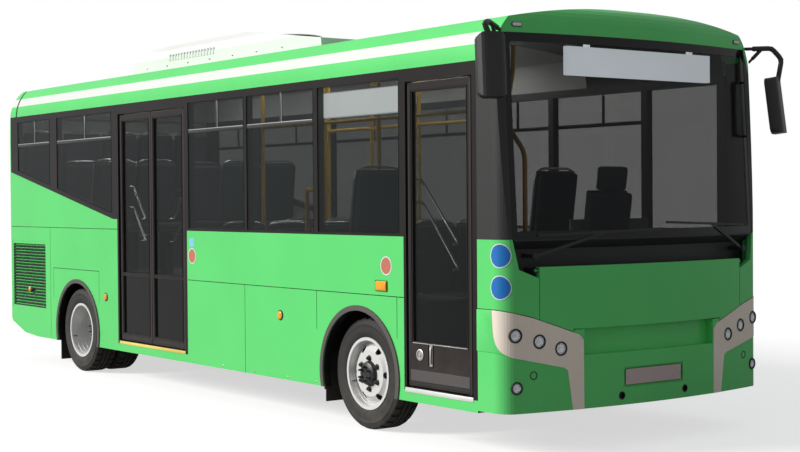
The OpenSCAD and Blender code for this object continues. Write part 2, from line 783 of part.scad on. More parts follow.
// Columns: pivot, arm's end, both ends of the blade, in Y and Z
WIPERS = [[[-hw + 225, sill_z - 113], [-hw + 780, sill_z + 31], [-hw + 250, sill_z + 19], [80, sill_z
    + 45]],
    [[hw - 225, sill_z - 113], [hw - 590, sill_z + 73], [hw - 200, sill_z + 57], [130, sill_z + 89]]];
module wipers() {
    color("#111111") for (w = WIPERS) {
        front_skin(-7, 1.5) {
            bar2d(w[0], w[1], 20);
            bar2d(w[2], w[3], 16);
            translate(w[0]) circle(r = 18);
        }
        intersection() {
            front_block(-1);
            bow_turn() translate([bow_r - scuttle_d + fit, flap_z1 - 82]) square([scuttle_d + 50, sill_z]);
            along_x(mask_x, front_x + 50) translate(w[0]) circle(r = 13);
        }
    }
}

module windscreen() {
    color("#3b4a52", 0.5) front_skin(2, 2 + glass_t) translate([-screen_half, screen_z0])
        square([2 * screen_half, screen_z1 - screen_z0]);
}

glass_in = 3;
module window_glass() {
    color("#3b4a52", 0.5) {
        along_y(-hw + glass_in, -hw + glass_in + glass_t) windows2d([], fit);
        along_y(hw - glass_in - glass_t, hw - glass_in) windows2d(LEFT_WINDOWS, fit);
        rear_skin(glass_in, glass_in + glass_t) rear_window2d(0);
    }
}

// Heights of the housing's middle, of the arm's foot, of its elbow and of its outer bend
RIGHT_MIRROR = [band_z - 62, band_z + 160, band_z + 215, band_z + 190];
LEFT_MIRROR = [band_z - 233, band_z + 175, band_z + 186, band_z + 105];
mirror_x = mask_x + 325;
mirror_y = hw + 135;
mirror_w = 195;
mirror_h = 410;
mirror_d = 88;
mirror_yaw = 25;
mirror_pitch = 7;
mirror_lip = 12;
arm_r = 12;
module mirror_housing() {
    difference() {
        intersection() {
            along_x(-mirror_d / 2, mirror_d / 2) polygon(rrect(mirror_w, mirror_h, 52));
            translate([-mirror_d / 2 - 2, 0, -mirror_h]) linear_extrude(2 * mirror_h)
                polygon(rrect(2 * mirror_d, mirror_w - 4, 60));
        }
        along_x(-mirror_d, mirror_lip / 2 - mirror_d / 2)
            polygon(rrect(mirror_w - 2 * mirror_lip, mirror_h - 2 * mirror_lip, 42));
    }
}
// One mirror with its arm, drawn on the left
module mirror_unit(m) {
    foot = [mask_x + 150, hw - 130, m[1]];
    elbow = [mask_x + 285, hw + 135, m[2]];
    bend = [mirror_x, hw + 195, m[3]];
    brace = [mask_x + 165, hw - 60, m[1] - 150];
    difference() {
        union() {
            translate([mirror_x, mirror_y, m[0]]) rotate([0, -mirror_pitch, mirror_yaw]) mirror_housing();
            rod(foot, elbow, arm_r);
            rod(elbow, bend, arm_r);
            rod(bend, [mirror_x, mirror_y + 15, m[0] + mirror_h / 2 - 30], arm_r);
            rod(brace, (foot + 3 * elbow) / 4, arm_r - 3);
            for (p = [elbow, bend]) translate(p) sphere(r = arm_r + 2);
        }
        along_x(mask_x - 50, front_x + 100) section2d(-fit);
    }
}
module mirrors() {
    color("#1b1c1e") {
        mirror_unit(LEFT_MIRROR);
        mirror([0, 1, 0]) mirror_unit(RIGHT_MIRROR);
    }
}

module arch_trims() {
    color("#77797b") both_sides() for (x = [front_axle_x, rear_axle_x]) along_y(hw, hw + 10) difference() {
        translate([x, hub_z]) circle(r = arch_r + arch_trim_w);
        translate([x, hub_z]) circle(r = arch_r);
        translate([x - 2 * arch_r, skirt_z - 2 * arch_r]) square([4 * arch_r, 2 * arch_r]);
    }
}

module engine_grilles() {
    color("#3c4043") both_sides() {
        along_y(hw - 45, hw - 2) difference() {
            translate([grille_x0 + fit, grille_z0 + fit]) square([grille_w - 2 * fit, grille_h - 2 * fit]);
            translate([grille_x0 + grille_edge, grille_z0 + grille_edge])
                square([grille_w - 2 * grille_edge, grille_h - 2 * grille_edge]);
        }
        for (z = [grille_z0 + 41 : slat_pitch : grille_z0 + grille_h - 40])
            translate([grille_x0 + 20, hw - 24, z]) rotate([-38, 0, 0]) translate([0, -22, -2])
                cube([grille_w - 40, 40, 4]);
    }
}

// Foot of the steering column and its slope
column_foot = [mask_x - 120, hw - 570, sill_z - 545];
column_a = 20;
column_dir = [-sin(column_a), 0, cos(column_a)];
column_r = 18;

module dashboard() {
    color("#4a4d50") difference() {
        union() {
            along_y(-hw + 740, hw - 120) polygon([[mask_x - 60, floor_z], [mask_x - 60, sill_z - 505],
                [mask_x - 110, sill_z - 365], [mask_x - 70, sill_z - 295], [mask_x + 30, sill_z - 225],
                [mask_x + 115, sill_z - 225], [mask_x + 115, floor_z]]);
            rod(column_foot, column_foot + 190 * column_dir, 45);
            block(column_foot + [-20, -30, -20], column_foot + [80, 30, 60]);
        }
        rod(column_foot + 60 * column_dir, column_foot + 260 * column_dir, column_r + fit);
    }
}

module steering_wheel() {
    color("#151617") translate(column_foot) rotate([0, -column_a, 0]) {
        translate([0, 0, 61]) cylinder(r = column_r, h = 215);
        translate([0, 0, 250]) cylinder(r = 50, h = 30);
        translate([0, 0, 270]) rotate_extrude() translate([218, 0]) circle(r = 14);
        for (a = [90, 210, 330]) rotate(a) translate([0, -16, 260]) cube([216, 32, 14]);
    }
}

// Partition behind the driver, and the seat in front of it
screen_x = box_x1 + 7;
cab_seat_x = screen_x + 25;
module driver_seat() {
    y = column_foot[1];
    color("#3a3d42") translate([cab_seat_x, 0, cab_z]) {
        along_y(y - 140, y + 140) polygon([[68, 0], [368, 0], [368, 243.4], [68, 222.7]]);
        along_y(y - 225, y + 225) polygon([[28, 220.3], [458, 250], [468, 350], [28, 320]]);
        along_y(y - 210, y + 210) polygon([[28, 320.4], [118, 326.6], [68, 1050], [0, 1050]]);
    }
}

module cab_partition() {
    y0 = wall_y - 818;
    color("#6a6e72") {
        block([screen_x, y0, cab_z], [screen_x + 20, inner_y, sill_z + 95]);
        block([screen_x + 20, y0, cab_z], [mask_x - 260, y0 + 20, sill_z - 5]);
    }
}

// One seat unit: cushion, back and leg, facing forward
module seat_unit(s) {
    w = s[4] * seat_w + (s[4] - 1) * 10;
    z = s[2] + s[3];
    translate([s[0], s[1], 0]) {
        along_y(-w / 2, w / 2) polygon([[0, z - 15], [440, z], [455, z + 60], [10, z + 55]]);
        along_y(-w / 2, w / 2) polygon([[10, z + 55.4], [75, z + 56.1], [-20, z + 680], [-75, z + 680]]);
        along_y(-w / 4, w / 4) polygon([[150, s[2]], [290, s[2]], [290, z - 5.5], [150, z - 10.3]]);
    }
}

module passenger_seats() {
    color("#54595f") for (s = SEATS) seat_unit(s);
}

function ceiling_z(y) = crown_cz + sqrt(pow(crown_r - wall_t, 2) - y * y);
pole_y = wall_y - 700;
right_poles = [door_m_x1 + 50, row_x - 160, box_x0 - 240, door_f_x0 - 160];
left_poles = concat([for (x = left_rows) if (x > door_m_x0 + 500) x - 145], [box_x0 - 160]);
grab_z = band_z - 255;
hoop_y = -(wall_y - 60);
hoop_z = sill_z + 335;
// Columns: side of the aisle, X of its poles
POLES = [[-1, right_poles], [1, left_poles]];
module handrails() {
    color("#e3b81d") {
        for (p = POLES) {
            y = p[0] * pole_y;
            for (x = p[1]) rod([x, y, floor_z], [x, y, ceiling_z(pole_y + rail_r) - fit], rail_r);
            rod([min(p[1]), y, grab_z], [max(p[1]), y, grab_z], rail_r - 2);
        }
        for (x = [box_x0 - 300, box_x0 - 90]) rod([x, hoop_y, floor_z], [x, hoop_y, hoop_z + 5], rail_r);
        rod([box_x0 - 300, hoop_y, hoop_z], [box_x0 - 90, hoop_y, hoop_z], rail_r);
    }
}

module sign_boards() {
    sign_x = front_x - 215;
    sign_mid = 65;
    sign_half = hw - 527;
    color("#eef0f0") {
        intersection() {
            union() {
                block([sign_x, sign_mid - sign_half, screen_z1 - 255], [sign_x + 40, sign_mid + sign_half,
                    screen_z1 - 65]);
                for (s = [-1, 1]) translate([0, sign_mid + s * (sign_half - 190), 0])
                    block([sign_x + 8, -20, screen_z1 - 125], [sign_x + 32, 20, crown_z + 20]);
            }
            front_block(mask_t + fit);
            along_x(mask_x, front_x) section2d(mask_t + cap_in + fit);
        }
        block([bay_x1 + 41, -inner_y, band_z - 287], [door_f_x0 - 60, -wall_y + 30, band_z - 99]);
    }
}

unit_x = rear_axle_x + 230;
unit_half = hw - 510;
unit_h = 210;
module roof_unit() {
    top = crown_z + unit_h;
    low = crown_z - 80;
    color("#e9ebea") difference() {
        intersection() {
            along_y(-unit_half, unit_half) polygon([[unit_x, low], [unit_x + 20, crown_z + 30], [unit_x
                + 110, top - 90],
                [unit_x + 270, top - 22], [unit_x + 500, top], [unit_x + 2010, top], [unit_x + 2560, top
                    - 72],
                [unit_x + 3350, crown_z + 35], [unit_x + 3365, low]]);
            along_x(unit_x - 130, unit_x + 3470) polygon([[-unit_half, low - 50], [-unit_half, top - 130],
                [-unit_half + 35, top - 55], [-unit_half + 110, top], [unit_half - 110, top], [unit_half
                    - 35, top - 55],
                [unit_half, top - 130], [unit_half, low - 50]]);
        }
        along_x(unit_x - 230, unit_x + 3570) section2d(-fit);
    }
}

// Half the length of the axle's drum on the drive shaft's line
drum_l = 150;
shaft_z = hub_z + 40;
module engine_block() {
    color("#55585a") {
        block([rear_x + 210, -340, rear_deck_z - 850], [riser_x - 50, 340, rear_deck_z - 100]);
        block([riser_x - 60, -200, rear_deck_z - 850], [riser_x + 200, 200, rear_deck_z - 520]);
        rod([riser_x + 190, 0, shaft_z], [rear_axle_x - drum_l - fit, 0, shaft_z], 40);
    }
}

// Outline of half the front axle's beam in Y and Z
BEAM = [[0, rail_z0 - 75], [rail_y1 + 150, rail_z0 - 75], [kingpin_y - 100, hub_z - 58], [kingpin_y - 35,
    hub_z - 58],
    [kingpin_y - 35, hub_z + 58], [kingpin_y - 115, hub_z + 58], [rail_y1 + 120, rail_z0 - 10], [0,
        rail_z0 - 10]];
module front_axle() {
    color("#2d2f31") both_sides() difference() {
        union() {
            along_x(front_axle_x - 38, front_axle_x + 38) polygon(BEAM);
            translate([front_axle_x, kingpin_y, hub_z - 58]) cylinder(r = 2 * kingpin_r, h = 116);
        }
        translate([front_axle_x, kingpin_y, 0]) cylinder(r = kingpin_r + fit, h = 2 * tyre_d);
    }
}

axle_r = 50;
spring_z = rear_rail_z0 - 70;
module rear_axle() {
    tube_y = rear_track_y - 356;
    stub_y = rear_track_y - twin_pitch / 2 + 82;
    color("#2d2f31") {
        rod([rear_axle_x, -tube_y, hub_z], [rear_axle_x, tube_y, hub_z], axle_r + 25);
        rod([rear_axle_x, -stub_y, hub_z], [rear_axle_x, stub_y, hub_z], axle_r);
        rod([rear_axle_x - drum_l, 0, hub_z], [rear_axle_x + drum_l, 0, hub_z], 185);
        both_sides() block([rear_axle_x - 90, rail_y0 - 50, hub_z], [rear_axle_x + 90, rail_y1 + 50,
            spring_z]);
    }
}

module springs() {
    color("#1d1e20") both_sides() {
        translate([front_axle_x, kingpin_y - 358, rail_z0 - 10]) cylinder(r = 55, h = floor_z0 - rail_z0
            + 10);
        translate([rear_axle_x, (rail_y0 + rail_y1) / 2, spring_z]) cylinder(r = 85, h = rear_rail_z0
            - spring_z);
    }
}

tank_r = 100;
silencer_r = 120;
module underfloor_tanks() {
    x0 = wall_x0 + 195;
    x1 = riser_x - 50;
    z = rear_rail_z1 + tank_r + fit;
    y = rail_y1 + silencer_r + fit;
    color("#6f7376") {
        block([x0, rail_y1, rear_rail_z0 - 80], [x1, wall_y - 70, rear_rail_z0 + 40]);
        block([x0, rail_y1 + 1, rear_rail_z0 + 39], [x1, wall_y - 70, rear_rail_z1]);
        for (x = [deck_x1 - 250, deck_x1 - 475]) rod([x, -600, z], [x, 600, z], tank_r);
        rod([x0 + 50, -y, rear_rail_z0 + 65], [x1 - 50, -y, rear_rail_z0 + 65], silencer_r);
    }
}

module mud_flaps() {
    color("#18191a") both_sides() {
        block([box_x0 + 2, wall_y - 260, 240], [box_x0 + box_t - 2, wall_y - 5, floor_z0]);
        block([rear_axle_x - box_half + 2, wall_y - 450, 75], [rear_axle_x - box_half + box_t - 2, wall_y
            - 5, floor_z0]);
    }
}

module tail_lamps() {
    color("#b01c18") both_sides() for (z = TAIL_Z) rod([rear_x, tail_y, z], [rear_x + 20 - fit, tail_y,
        z], tail_r);
}

// Columns: X and Z of a round side marker lamp
MARKERS = [[rear_axle_x + 643, hub_z + 355], [bay_x1 - 482, hub_z + 366]];
marker_t = 9;
module marker_lamps() {
    x = door_f_x0 - 290;
    color("#e08a1a") both_sides() {
        for (m = MARKERS) rod([m[0], hw, m[1]], [m[0], hw + marker_t, m[1]], 32);
        block([x - 64, hw, waist_z + 38], [x + 64, hw + marker_t, waist_z + 102]);
    }
}

// A door leaf between two edges with its shaft at hx, and its panes from their lower and upper edges
leaf_z0 = door_z0 + 10;
leaf_z1 = door_z1 - 10;
leaf_frame = 50;
kick_h = 305;
rail_up = 605;
rail_h = 32;
pane_z1 = leaf_z1 - leaf_frame - 10;
front_panes = [[leaf_z0 + kick_h, pane_z1]];
mid_panes = [[leaf_z0 + leaf_frame + 15, leaf_z0 + rail_up - rail_h / 2], [leaf_z0 + rail_up + rail_h / 2,
    pane_z1]];
module leaf(x0, x1, hx, panes) {
    difference() {
        union() {
            block([x0, -leaf_y - leaf_t / 2, leaf_z0], [x1, -leaf_y + leaf_t / 2, leaf_z1]);
            rod([hx, -leaf_y, door_z0 - 13], [hx, -leaf_y, door_z1 + 18], shaft_r);
        }
        leaf_window(x0, x1, 0, leaf_t, panes);
    }
}
module leaf_window(x0, x1, off, t, panes) {
    in = leaf_frame + off;
    for (p = panes) along_y(-leaf_y - t / 2 - off, -leaf_y + t / 2 + off)
        polygon([[x0 + in, p[0] + off], [x1 - in, p[0] + off], [x1 - in, p[1] - off], [x0 + in, p[1]
            - off]]);
}

leaf_over = 24;
front_leaf = [door_f_x0 + 12, door_f_hx + leaf_over];
mid_gap = 4;
mid_x = (door_m_x0 + door_m_x1) / 2;
mid_front_leaf = [mid_x + mid_gap, door_m_hx1 + leaf_over];
mid_rear_leaf = [door_m_hx0 - leaf_over, mid_x - mid_gap];
module front_door() {
    color("#222426") leaf(front_leaf[0], front_leaf[1], door_f_hx, front_panes);
}
module front_door_glass() {
    color("#3b4a52", 0.5) leaf_window(front_leaf[0], front_leaf[1], fit, glass_t, front_panes);
}
module mid_door_front() {
    color("#222426") leaf(mid_front_leaf[0], mid_front_leaf[1], door_m_hx1, mid_panes);
}
module mid_door_front_glass() {
    color("#3b4a52", 0.5) leaf_window(mid_front_leaf[0], mid_front_leaf[1], fit, glass_t, mid_panes);
}
module mid_door_rear() {
    color("#222426") leaf(mid_rear_leaf[0], mid_rear_leaf[1], door_m_hx0, mid_panes);
}
module mid_door_rear_glass() {
    color("#3b4a52", 0.5) leaf_window(mid_rear_leaf[0], mid_rear_leaf[1], fit, glass_t, mid_panes);
}

// Steering knuckle of the left front wheel, drawn about the kingpin at hub height
stub_r = 38;
lug_r = 42;
lug_h = 35;
ball_r = 10;
module knuckle() {
    arm_z = tie_rod_z + 23 - hub_z;
    translate([front_axle_x, kingpin_y, hub_z]) {
        translate([0, 0, -95]) cylinder(r = kingpin_r, h = 190);
        for (z = [-95, 95 - lug_h]) {
            translate([0, 0, z]) cylinder(r = lug_r, h = lug_h);
            block([-lug_r, 0, z], [lug_r, 70, z + lug_h]);
        }
        block([-lug_r, 46, -95], [lug_r, 75, 95]);
        rod([0, 70, 0], [0, kingpin_in + 66, 0], stub_r);
        block([-lug_r, -18, arm_z], [-2, 18, -90]);
        block([-steer_arm_l - 22, -18, arm_z], [-2, 18, arm_z + 30]);
        translate([-steer_arm_l, 0, tie_rod_z - 14 - hub_z]) cylinder(r = ball_r, h = 45);
    }
}
module knuckle_left() {
    color("#3a3d40") knuckle();
}
module knuckle_right() {
    color("#3a3d40") mirror([0, 1, 0]) knuckle();
}

module tie_rod() {
    x = front_axle_x - steer_arm_l;
    color("#4a4d50") difference() {
        union() {
            both_sides() translate([x, kingpin_y, tie_rod_z - 14]) cylinder(r = ball_r + 14, h = 28);
            rod([x, -kingpin_y + 15, tie_rod_z], [x, kingpin_y - 15, tie_rod_z], 13);
        }
        both_sides() translate([x, kingpin_y, 0]) cylinder(r = ball_r + fit, h = tyre_d);
    }
}

// Half section of a tyre: radius and distance from its middle
tyre_h = tyre_w / 2;
wall_h = hub_z - bead_r;
TYRE_SIDE = [[bead_r + fit, tyre_h - 30.5], [bead_r + 14, tyre_h - 22.5], [bead_r + 0.19 * wall_h, tyre_h
    - 8],
    [bead_r + 0.38 * wall_h, tyre_h - 1], [bead_r + 0.54 * wall_h, tyre_h], [hub_z - 35, tyre_h - 4],
        [hub_z - 12, tyre_h - 13],
    [hub_z - 2, tyre_h - 26], [hub_z, tyre_h - 38]];
GROOVE = [[hub_z, 48], [hub_z - 11, 46], [hub_z - 11, 38], [hub_z, 36], [hub_z, 6], [hub_z - 11, 5]];
function flip(p) = [for (i = [len(p) - 1 : -1 : 0]) [p[i][0], -p[i][1]]];
module tyre() {
    rotate_extrude($fn = 96) polygon(concat(TYRE_SIDE, GROOVE, flip(GROOVE), flip(TYRE_SIDE)));
}

// Rim of one wheel
rim_r = bead_r - 12;
RIM_SIDE = [[rim_r, tyre_h - 20.5], [rim_r + 4, tyre_h - 8.5], [bead_r + 14, tyre_h - 8.5], [bead_r + 14,
    tyre_h - 15.5],
    [bead_r, tyre_h - 26.5]];
module rim() {
    rotate_extrude($fn = 96) polygon(concat(RIM_SIDE, flip(RIM_SIDE)));
}

// Hub, disc and cap of a front wheel
drum_r = bead_r - 50;
FRONT_HUB = [[stub_r + fit, -70], [95, -70], [95, 5], [drum_r, 5], [drum_r, 20], [95, 20], [95, 62],
    [bead_r - 88, 62],
    [bead_r - 43, 30], [rim_r + 1, 18], [rim_r + 1, 34], [bead_r - 36, 46], [bead_r - 80, 84], [85, 84],
        [80, 106], [60, 116],
    [0, 118], [0, 76], [stub_r + fit, 76]];
// Hub, both discs and cap of a rear twin wheel, measured from the middle between the twins
REAR_HUB = [[axle_r + fit, -202], [95, -202], [95, -87], [drum_r, -87], [drum_r, -72], [95, -72], [95, -14],
    [bead_r - 83, -14], [bead_r - 38, -40], [rim_r + 1, -46], [rim_r + 1, -30], [bead_r - 34, -24],
        [bead_r - 70, 0],
    [bead_r - 34, 24], [rim_r + 1, 30], [rim_r + 1, 46], [bead_r - 38, 40], [bead_r - 83, 14], [90, 14],
        [84, 84], [66, 94],
    [0, 96], [0, 88], [axle_r + fit, 88]];
module hand_holes(a0, a1) {
    for (i = [0 : 5]) rotate(60 * i) translate([bead_r - 59, 0, a0]) cylinder(r = 25, h = a1 - a0);
}
module brake_drum(a0, a1) {
    rotate_extrude() translate([drum_r - 18, a0]) square([18, a1 - a0]);
}
module front_wheel() {
    rim();
    difference() {
        rotate_extrude($fn = 96) polygon(FRONT_HUB);
        hand_holes(24, 130);
    }
    brake_drum(-80, 10);
}
module rear_wheel() {
    for (a = [0, -twin_pitch]) translate([0, 0, a]) rim();
    translate([0, 0, -twin_pitch / 2]) {
        difference() {
            rotate_extrude($fn = 96) polygon(REAR_HUB);
            hand_holes(-62, 128);
        }
        brake_drum(-202, -82);
    }
}

// Put a wheel drawn about Z on the left end of an axle
module at_front() {
    translate([front_axle_x, front_track_y, hub_z]) rotate([-90, 0, 0]) children();
}
module at_rear() {
    translate([rear_axle_x, rear_track_y, hub_z]) rotate([-90, 0, 0]) children();
}
module twin_tyres() {
    for (a = [0, -twin_pitch]) translate([0, 0, a]) tyre();
}
module tyre_front_left() {
    color("#1a1a1b") at_front() tyre();
}
module tyre_front_right() {
    color("#1a1a1b") mirror([0, 1, 0]) at_front() tyre();
}
module tyre_rear_left() {
    color("#1a1a1b") at_rear() twin_tyres();
}
module tyre_rear_right() {
    color("#1a1a1b") mirror([0, 1, 0]) at_rear() twin_tyres();
}
module wheel_front_left() {
    color("#b4b7ba") at_front() front_wheel();
}
module wheel_front_right() {
    color("#b4b7ba") mirror([0, 1, 0]) at_front() front_wheel();
}
module wheel_rear_left() {
    color("#b4b7ba") at_rear() rear_wheel();
}
module wheel_rear_right() {
    color("#b4b7ba") mirror([0, 1, 0]) at_rear() rear_wheel();
}

floor_deck();
chassis_frame();
lower_sides();
window_frames();
roof_shell();
rear_wall();
front_cap();
front_trim();
corner_panels();
bumper_front();
lamp_bezels();
head_lamps();
wipers();
windscreen();
window_glass();
mirrors();
arch_trims();
engine_grilles();
dashboard();
driver_seat();
cab_partition();
passenger_seats();
handrails();
sign_boards();
roof_unit();
engine_block();
front_axle();
rear_axle();
springs();
underfloor_tanks();
mud_flaps();
tail_lamps();
marker_lamps();
front_door();
front_door_glass();
mid_door_front();
mid_door_front_glass();
mid_door_rear();
mid_door_rear_glass();
front_flap();
engine_door();
knuckle_right();
knuckle_left();
tie_rod();
steering_wheel();
tyre_front_right();
tyre_front_left();
tyre_rear_right();
tyre_rear_left();
wheel_front_right();
wheel_front_left();
wheel_rear_right();
wheel_rear_left();
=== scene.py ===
"""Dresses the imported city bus: finishes, trim, glazing detail, seats, wheels and the stage."""
import math

import bmesh
import bpy
from mathutils import Matrix, Vector


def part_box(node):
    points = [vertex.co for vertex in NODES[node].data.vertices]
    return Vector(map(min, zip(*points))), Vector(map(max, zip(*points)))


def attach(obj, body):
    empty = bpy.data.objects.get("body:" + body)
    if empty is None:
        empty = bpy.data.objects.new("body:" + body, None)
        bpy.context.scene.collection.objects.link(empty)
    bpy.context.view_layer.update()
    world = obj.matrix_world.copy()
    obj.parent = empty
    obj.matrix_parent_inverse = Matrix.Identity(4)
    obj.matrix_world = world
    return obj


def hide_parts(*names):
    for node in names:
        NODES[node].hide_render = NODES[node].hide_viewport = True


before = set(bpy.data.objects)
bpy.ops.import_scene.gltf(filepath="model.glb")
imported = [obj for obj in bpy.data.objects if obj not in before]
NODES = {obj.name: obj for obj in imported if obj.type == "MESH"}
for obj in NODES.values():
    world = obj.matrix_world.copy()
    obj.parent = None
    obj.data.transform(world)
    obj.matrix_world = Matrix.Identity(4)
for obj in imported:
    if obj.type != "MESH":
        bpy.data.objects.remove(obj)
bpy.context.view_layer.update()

bl_info = {
    "name": "City bus dressing",
    "version": (1, 0, 0),
    "blender": (4, 5, 0),
    "location": "3D View > Sidebar > City bus",
    "description": "Finishes and detail pieces for the packed city bus",
    "category": "Object",
}


# Sizes and colours that a user would change

class CityBusColours(bpy.types.PropertyGroup):
    """Paint and trim colours."""
    body: bpy.props.FloatVectorProperty(
        name="Body", description="Green of the painted body", subtype="COLOR", size=3,
        default=(0.112, 0.64, 0.170))
    stripe: bpy.props.FloatVectorProperty(
        name="Stripe", description="White stripe along the roof edge", subtype="COLOR", size=3,
        default=(0.70, 0.72, 0.70))
    band: bpy.props.FloatVectorProperty(
        name="Window band", description="Dark band round the windows", subtype="COLOR", size=3,
        default=(0.016, 0.013, 0.013))
    lining: bpy.props.FloatVectorProperty(
        name="Lining", description="Pale lining inside the saloon", subtype="COLOR", size=3,
        default=(0.42, 0.43, 0.43))
    rails: bpy.props.FloatVectorProperty(
        name="Hand rails", description="Yellow of the hand rails", subtype="COLOR", size=3,
        default=(0.86, 0.52, 0.02))
    bezel: bpy.props.FloatVectorProperty(
        name="Bezels", description="Silver of the lamp bezels", subtype="COLOR", size=3,
        default=(0.84, 0.74, 0.64))


class CityBusSizes(bpy.types.PropertyGroup):
    """Sizes of the added pieces."""
    seal: bpy.props.FloatProperty(
        name="Window seal", description="Width of a window's rubber seal", unit="LENGTH", default=0.012)
    vent_bar: bpy.props.FloatProperty(
        name="Vent bar", description="Height of the bar under a sliding vent", unit="LENGTH", default=0.030)
    tread: bpy.props.FloatProperty(
        name="Tread depth", description="Depth of the tyre's shoulder grooves", unit="LENGTH", default=0.009)
    nut: bpy.props.FloatProperty(
        name="Wheel nut", description="Width of a wheel nut across its corners", unit="LENGTH", default=0.032)
    pad_rise: bpy.props.FloatProperty(
        name="Pad rise", description="Most that a seat pad swells", unit="LENGTH", default=0.024)


class CityBusView(bpy.types.PropertyGroup):
    """Camera and light."""
    eye: bpy.props.FloatVectorProperty(
        name="Eye", description="Place of the camera", subtype="TRANSLATION", unit="LENGTH", size=3,
        default=(11.2516, -7.3438, 1.6686))
    yaw: bpy.props.FloatProperty(
        name="Yaw", description="Turn of the view about the upright axis", subtype="ANGLE",
        default=math.radians(53.626))
    pitch: bpy.props.FloatProperty(
        name="Pitch", description="Downward tilt of the view", subtype="ANGLE", default=math.radians(1.0588))
    roll: bpy.props.FloatProperty(
        name="Roll", description="Turn of the picture", subtype="ANGLE", default=math.radians(0.4442))
    lens: bpy.props.FloatProperty(
        name="Lens", description="Focal length on a 36 mm sensor", subtype="DISTANCE_CAMERA", default=67.446)
    key: bpy.props.FloatProperty(
        name="Key light", description="Strength of the sun that lights the right side", default=4.15)
    fill: bpy.props.FloatProperty(
        name="Fill light", description="Strength of the soft light from all round", default=0.32)


# Places on the body, worked out from the frame

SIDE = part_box("lower_sides")[1].y
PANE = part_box("window_glass")[1].y
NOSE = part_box("bumper_front")[1].x
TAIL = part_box("rear_wall")[0].x
# Radius of the front's bow and of its corners in plan, and the height above which it leans back
BOW_R = 5.32
CORNER_R = 0.13
CORNER_Y = SIDE - CORNER_R
CORNER_X = NOSE - BOW_R + math.sqrt((BOW_R - CORNER_R) ** 2 - CORNER_Y ** 2) + 0.003
CORNER_A = math.asin(CORNER_Y / (BOW_R - CORNER_R))
CORNER_U = BOW_R * CORNER_A
SIDE_U = CORNER_U + CORNER_R * (math.pi / 2 - CORNER_A)
LEAN_Z = 1.23
LEAN = 0.0569
OUT_RIGHT = Vector((0, -1, 0))
OUT_LEFT = Vector((0, 1, 0))
OUT_REAR = Vector((-1, 0, 0))
UP = Vector((0, 0, 1))


def bow_x(y, z):
    """X of the bowed front, which leans back above the windscreen's foot."""
    lean = max(0.0, z - LEAN_Z) * LEAN
    return NOSE - BOW_R + math.sqrt((BOW_R - lean) ** 2 - y ** 2)


def nose_x(y, z):
    """X of the front's face at a side distance and a height."""
    y = min(abs(y), SIDE - 1e-6)
    if y < BOW_R * math.sin(CORNER_A):
        return bow_x(y, z)
    return min(bow_x(y, z), CORNER_X + math.sqrt(CORNER_R ** 2 - (y - CORNER_Y) ** 2))


def facing(point, out, up=UP):
    """Place whose Z axis points out and whose Y axis points up."""
    out = Vector(out).normalized()
    across = Vector(up).cross(out).normalized()
    place = Matrix((across, out.cross(across), out)).transposed().to_4x4()
    return Matrix.Translation(Vector(point)) @ place


def on_nose(y, z, proud=0.0):
    """Place on the front's face with its Z axis square to the face."""
    step = 0.0005
    slope_y = (nose_x(y + step, z) - nose_x(y - step, z)) / (2 * step)
    slope_z = (nose_x(y, z + step) - nose_x(y, z - step)) / (2 * step)
    out = Vector((1.0, -slope_y, -slope_z)).normalized()
    return facing(Vector((nose_x(y, z), y, z)) + proud * out, out)


def on_side(side, x, z, proud=0.0):
    """Place on the right side, where side is -1, or on the left side."""
    return facing((x, side * (SIDE + proud), z), (0, side, 0))


# Mesh helpers

def turned(profile, steps=32, closed=False):
    """A shape turned about Z from points of radius and height."""
    part = bmesh.new()
    verts = [part.verts.new((r, 0.0, h)) for r, h in profile]
    pairs = list(zip(verts, verts[1:]))
    if closed:
        pairs.append((verts[-1], verts[0]))
    edges = [part.edges.new(pair) for pair in pairs]
    bmesh.ops.spin(part, geom=verts + edges, cent=(0, 0, 0), axis=(0, 0, 1), angle=2 * math.pi, steps=steps,
                   use_merge=True)
    bmesh.ops.remove_doubles(part, verts=part.verts, dist=1e-6)
    bmesh.ops.recalc_face_normals(part, faces=part.faces)
    return part


def verts_of(geom):
    """The vertices among what an operator gave back."""
    return [item for item in geom if isinstance(item, bmesh.types.BMVert)]


def edges_above(part, height):
    """The edges of a part that lie wholly above a height."""
    return [e for e in part.edges if all(v.co.z > height for v in e.verts)]


def soften(part, edges, width, segments=2):
    """Rounds some edges of a part."""
    bmesh.ops.bevel(part, geom=edges, offset=width, segments=segments, profile=0.5, affect="EDGES",
                    material=-1)


def pull_up(part, faces, thick):
    """Gives flat faces a thickness along Z."""
    pulled = bmesh.ops.extrude_face_region(part, geom=faces, use_keep_orig=True)["geom"]
    bmesh.ops.translate(part, vec=(0, 0, thick), verts=verts_of(pulled))
    bmesh.ops.recalc_face_normals(part, faces=part.faces)


def slab(low, high, edge=0.002, segments=2):
    """A block between two corners with rounded edges."""
    part = bmesh.new()
    low, high = Vector(low), Vector(high)
    bmesh.ops.create_cube(part, size=1.0)
    bmesh.ops.scale(part, vec=high - low, verts=part.verts)
    bmesh.ops.translate(part, vec=(low + high) / 2, verts=part.verts)
    soften(part, part.edges, edge, segments)
    return part


def plate(outline, thick, edge=0.0):
    """A flat piece pulled up from an outline in X and Y, with a rounded upper edge."""
    part = bmesh.new()
    face = part.faces.new([part.verts.new((x, y, 0.0)) for x, y in outline])
    pull_up(part, [face], thick)
    if edge:
        soften(part, edges_above(part, thick / 2), edge)
    return part


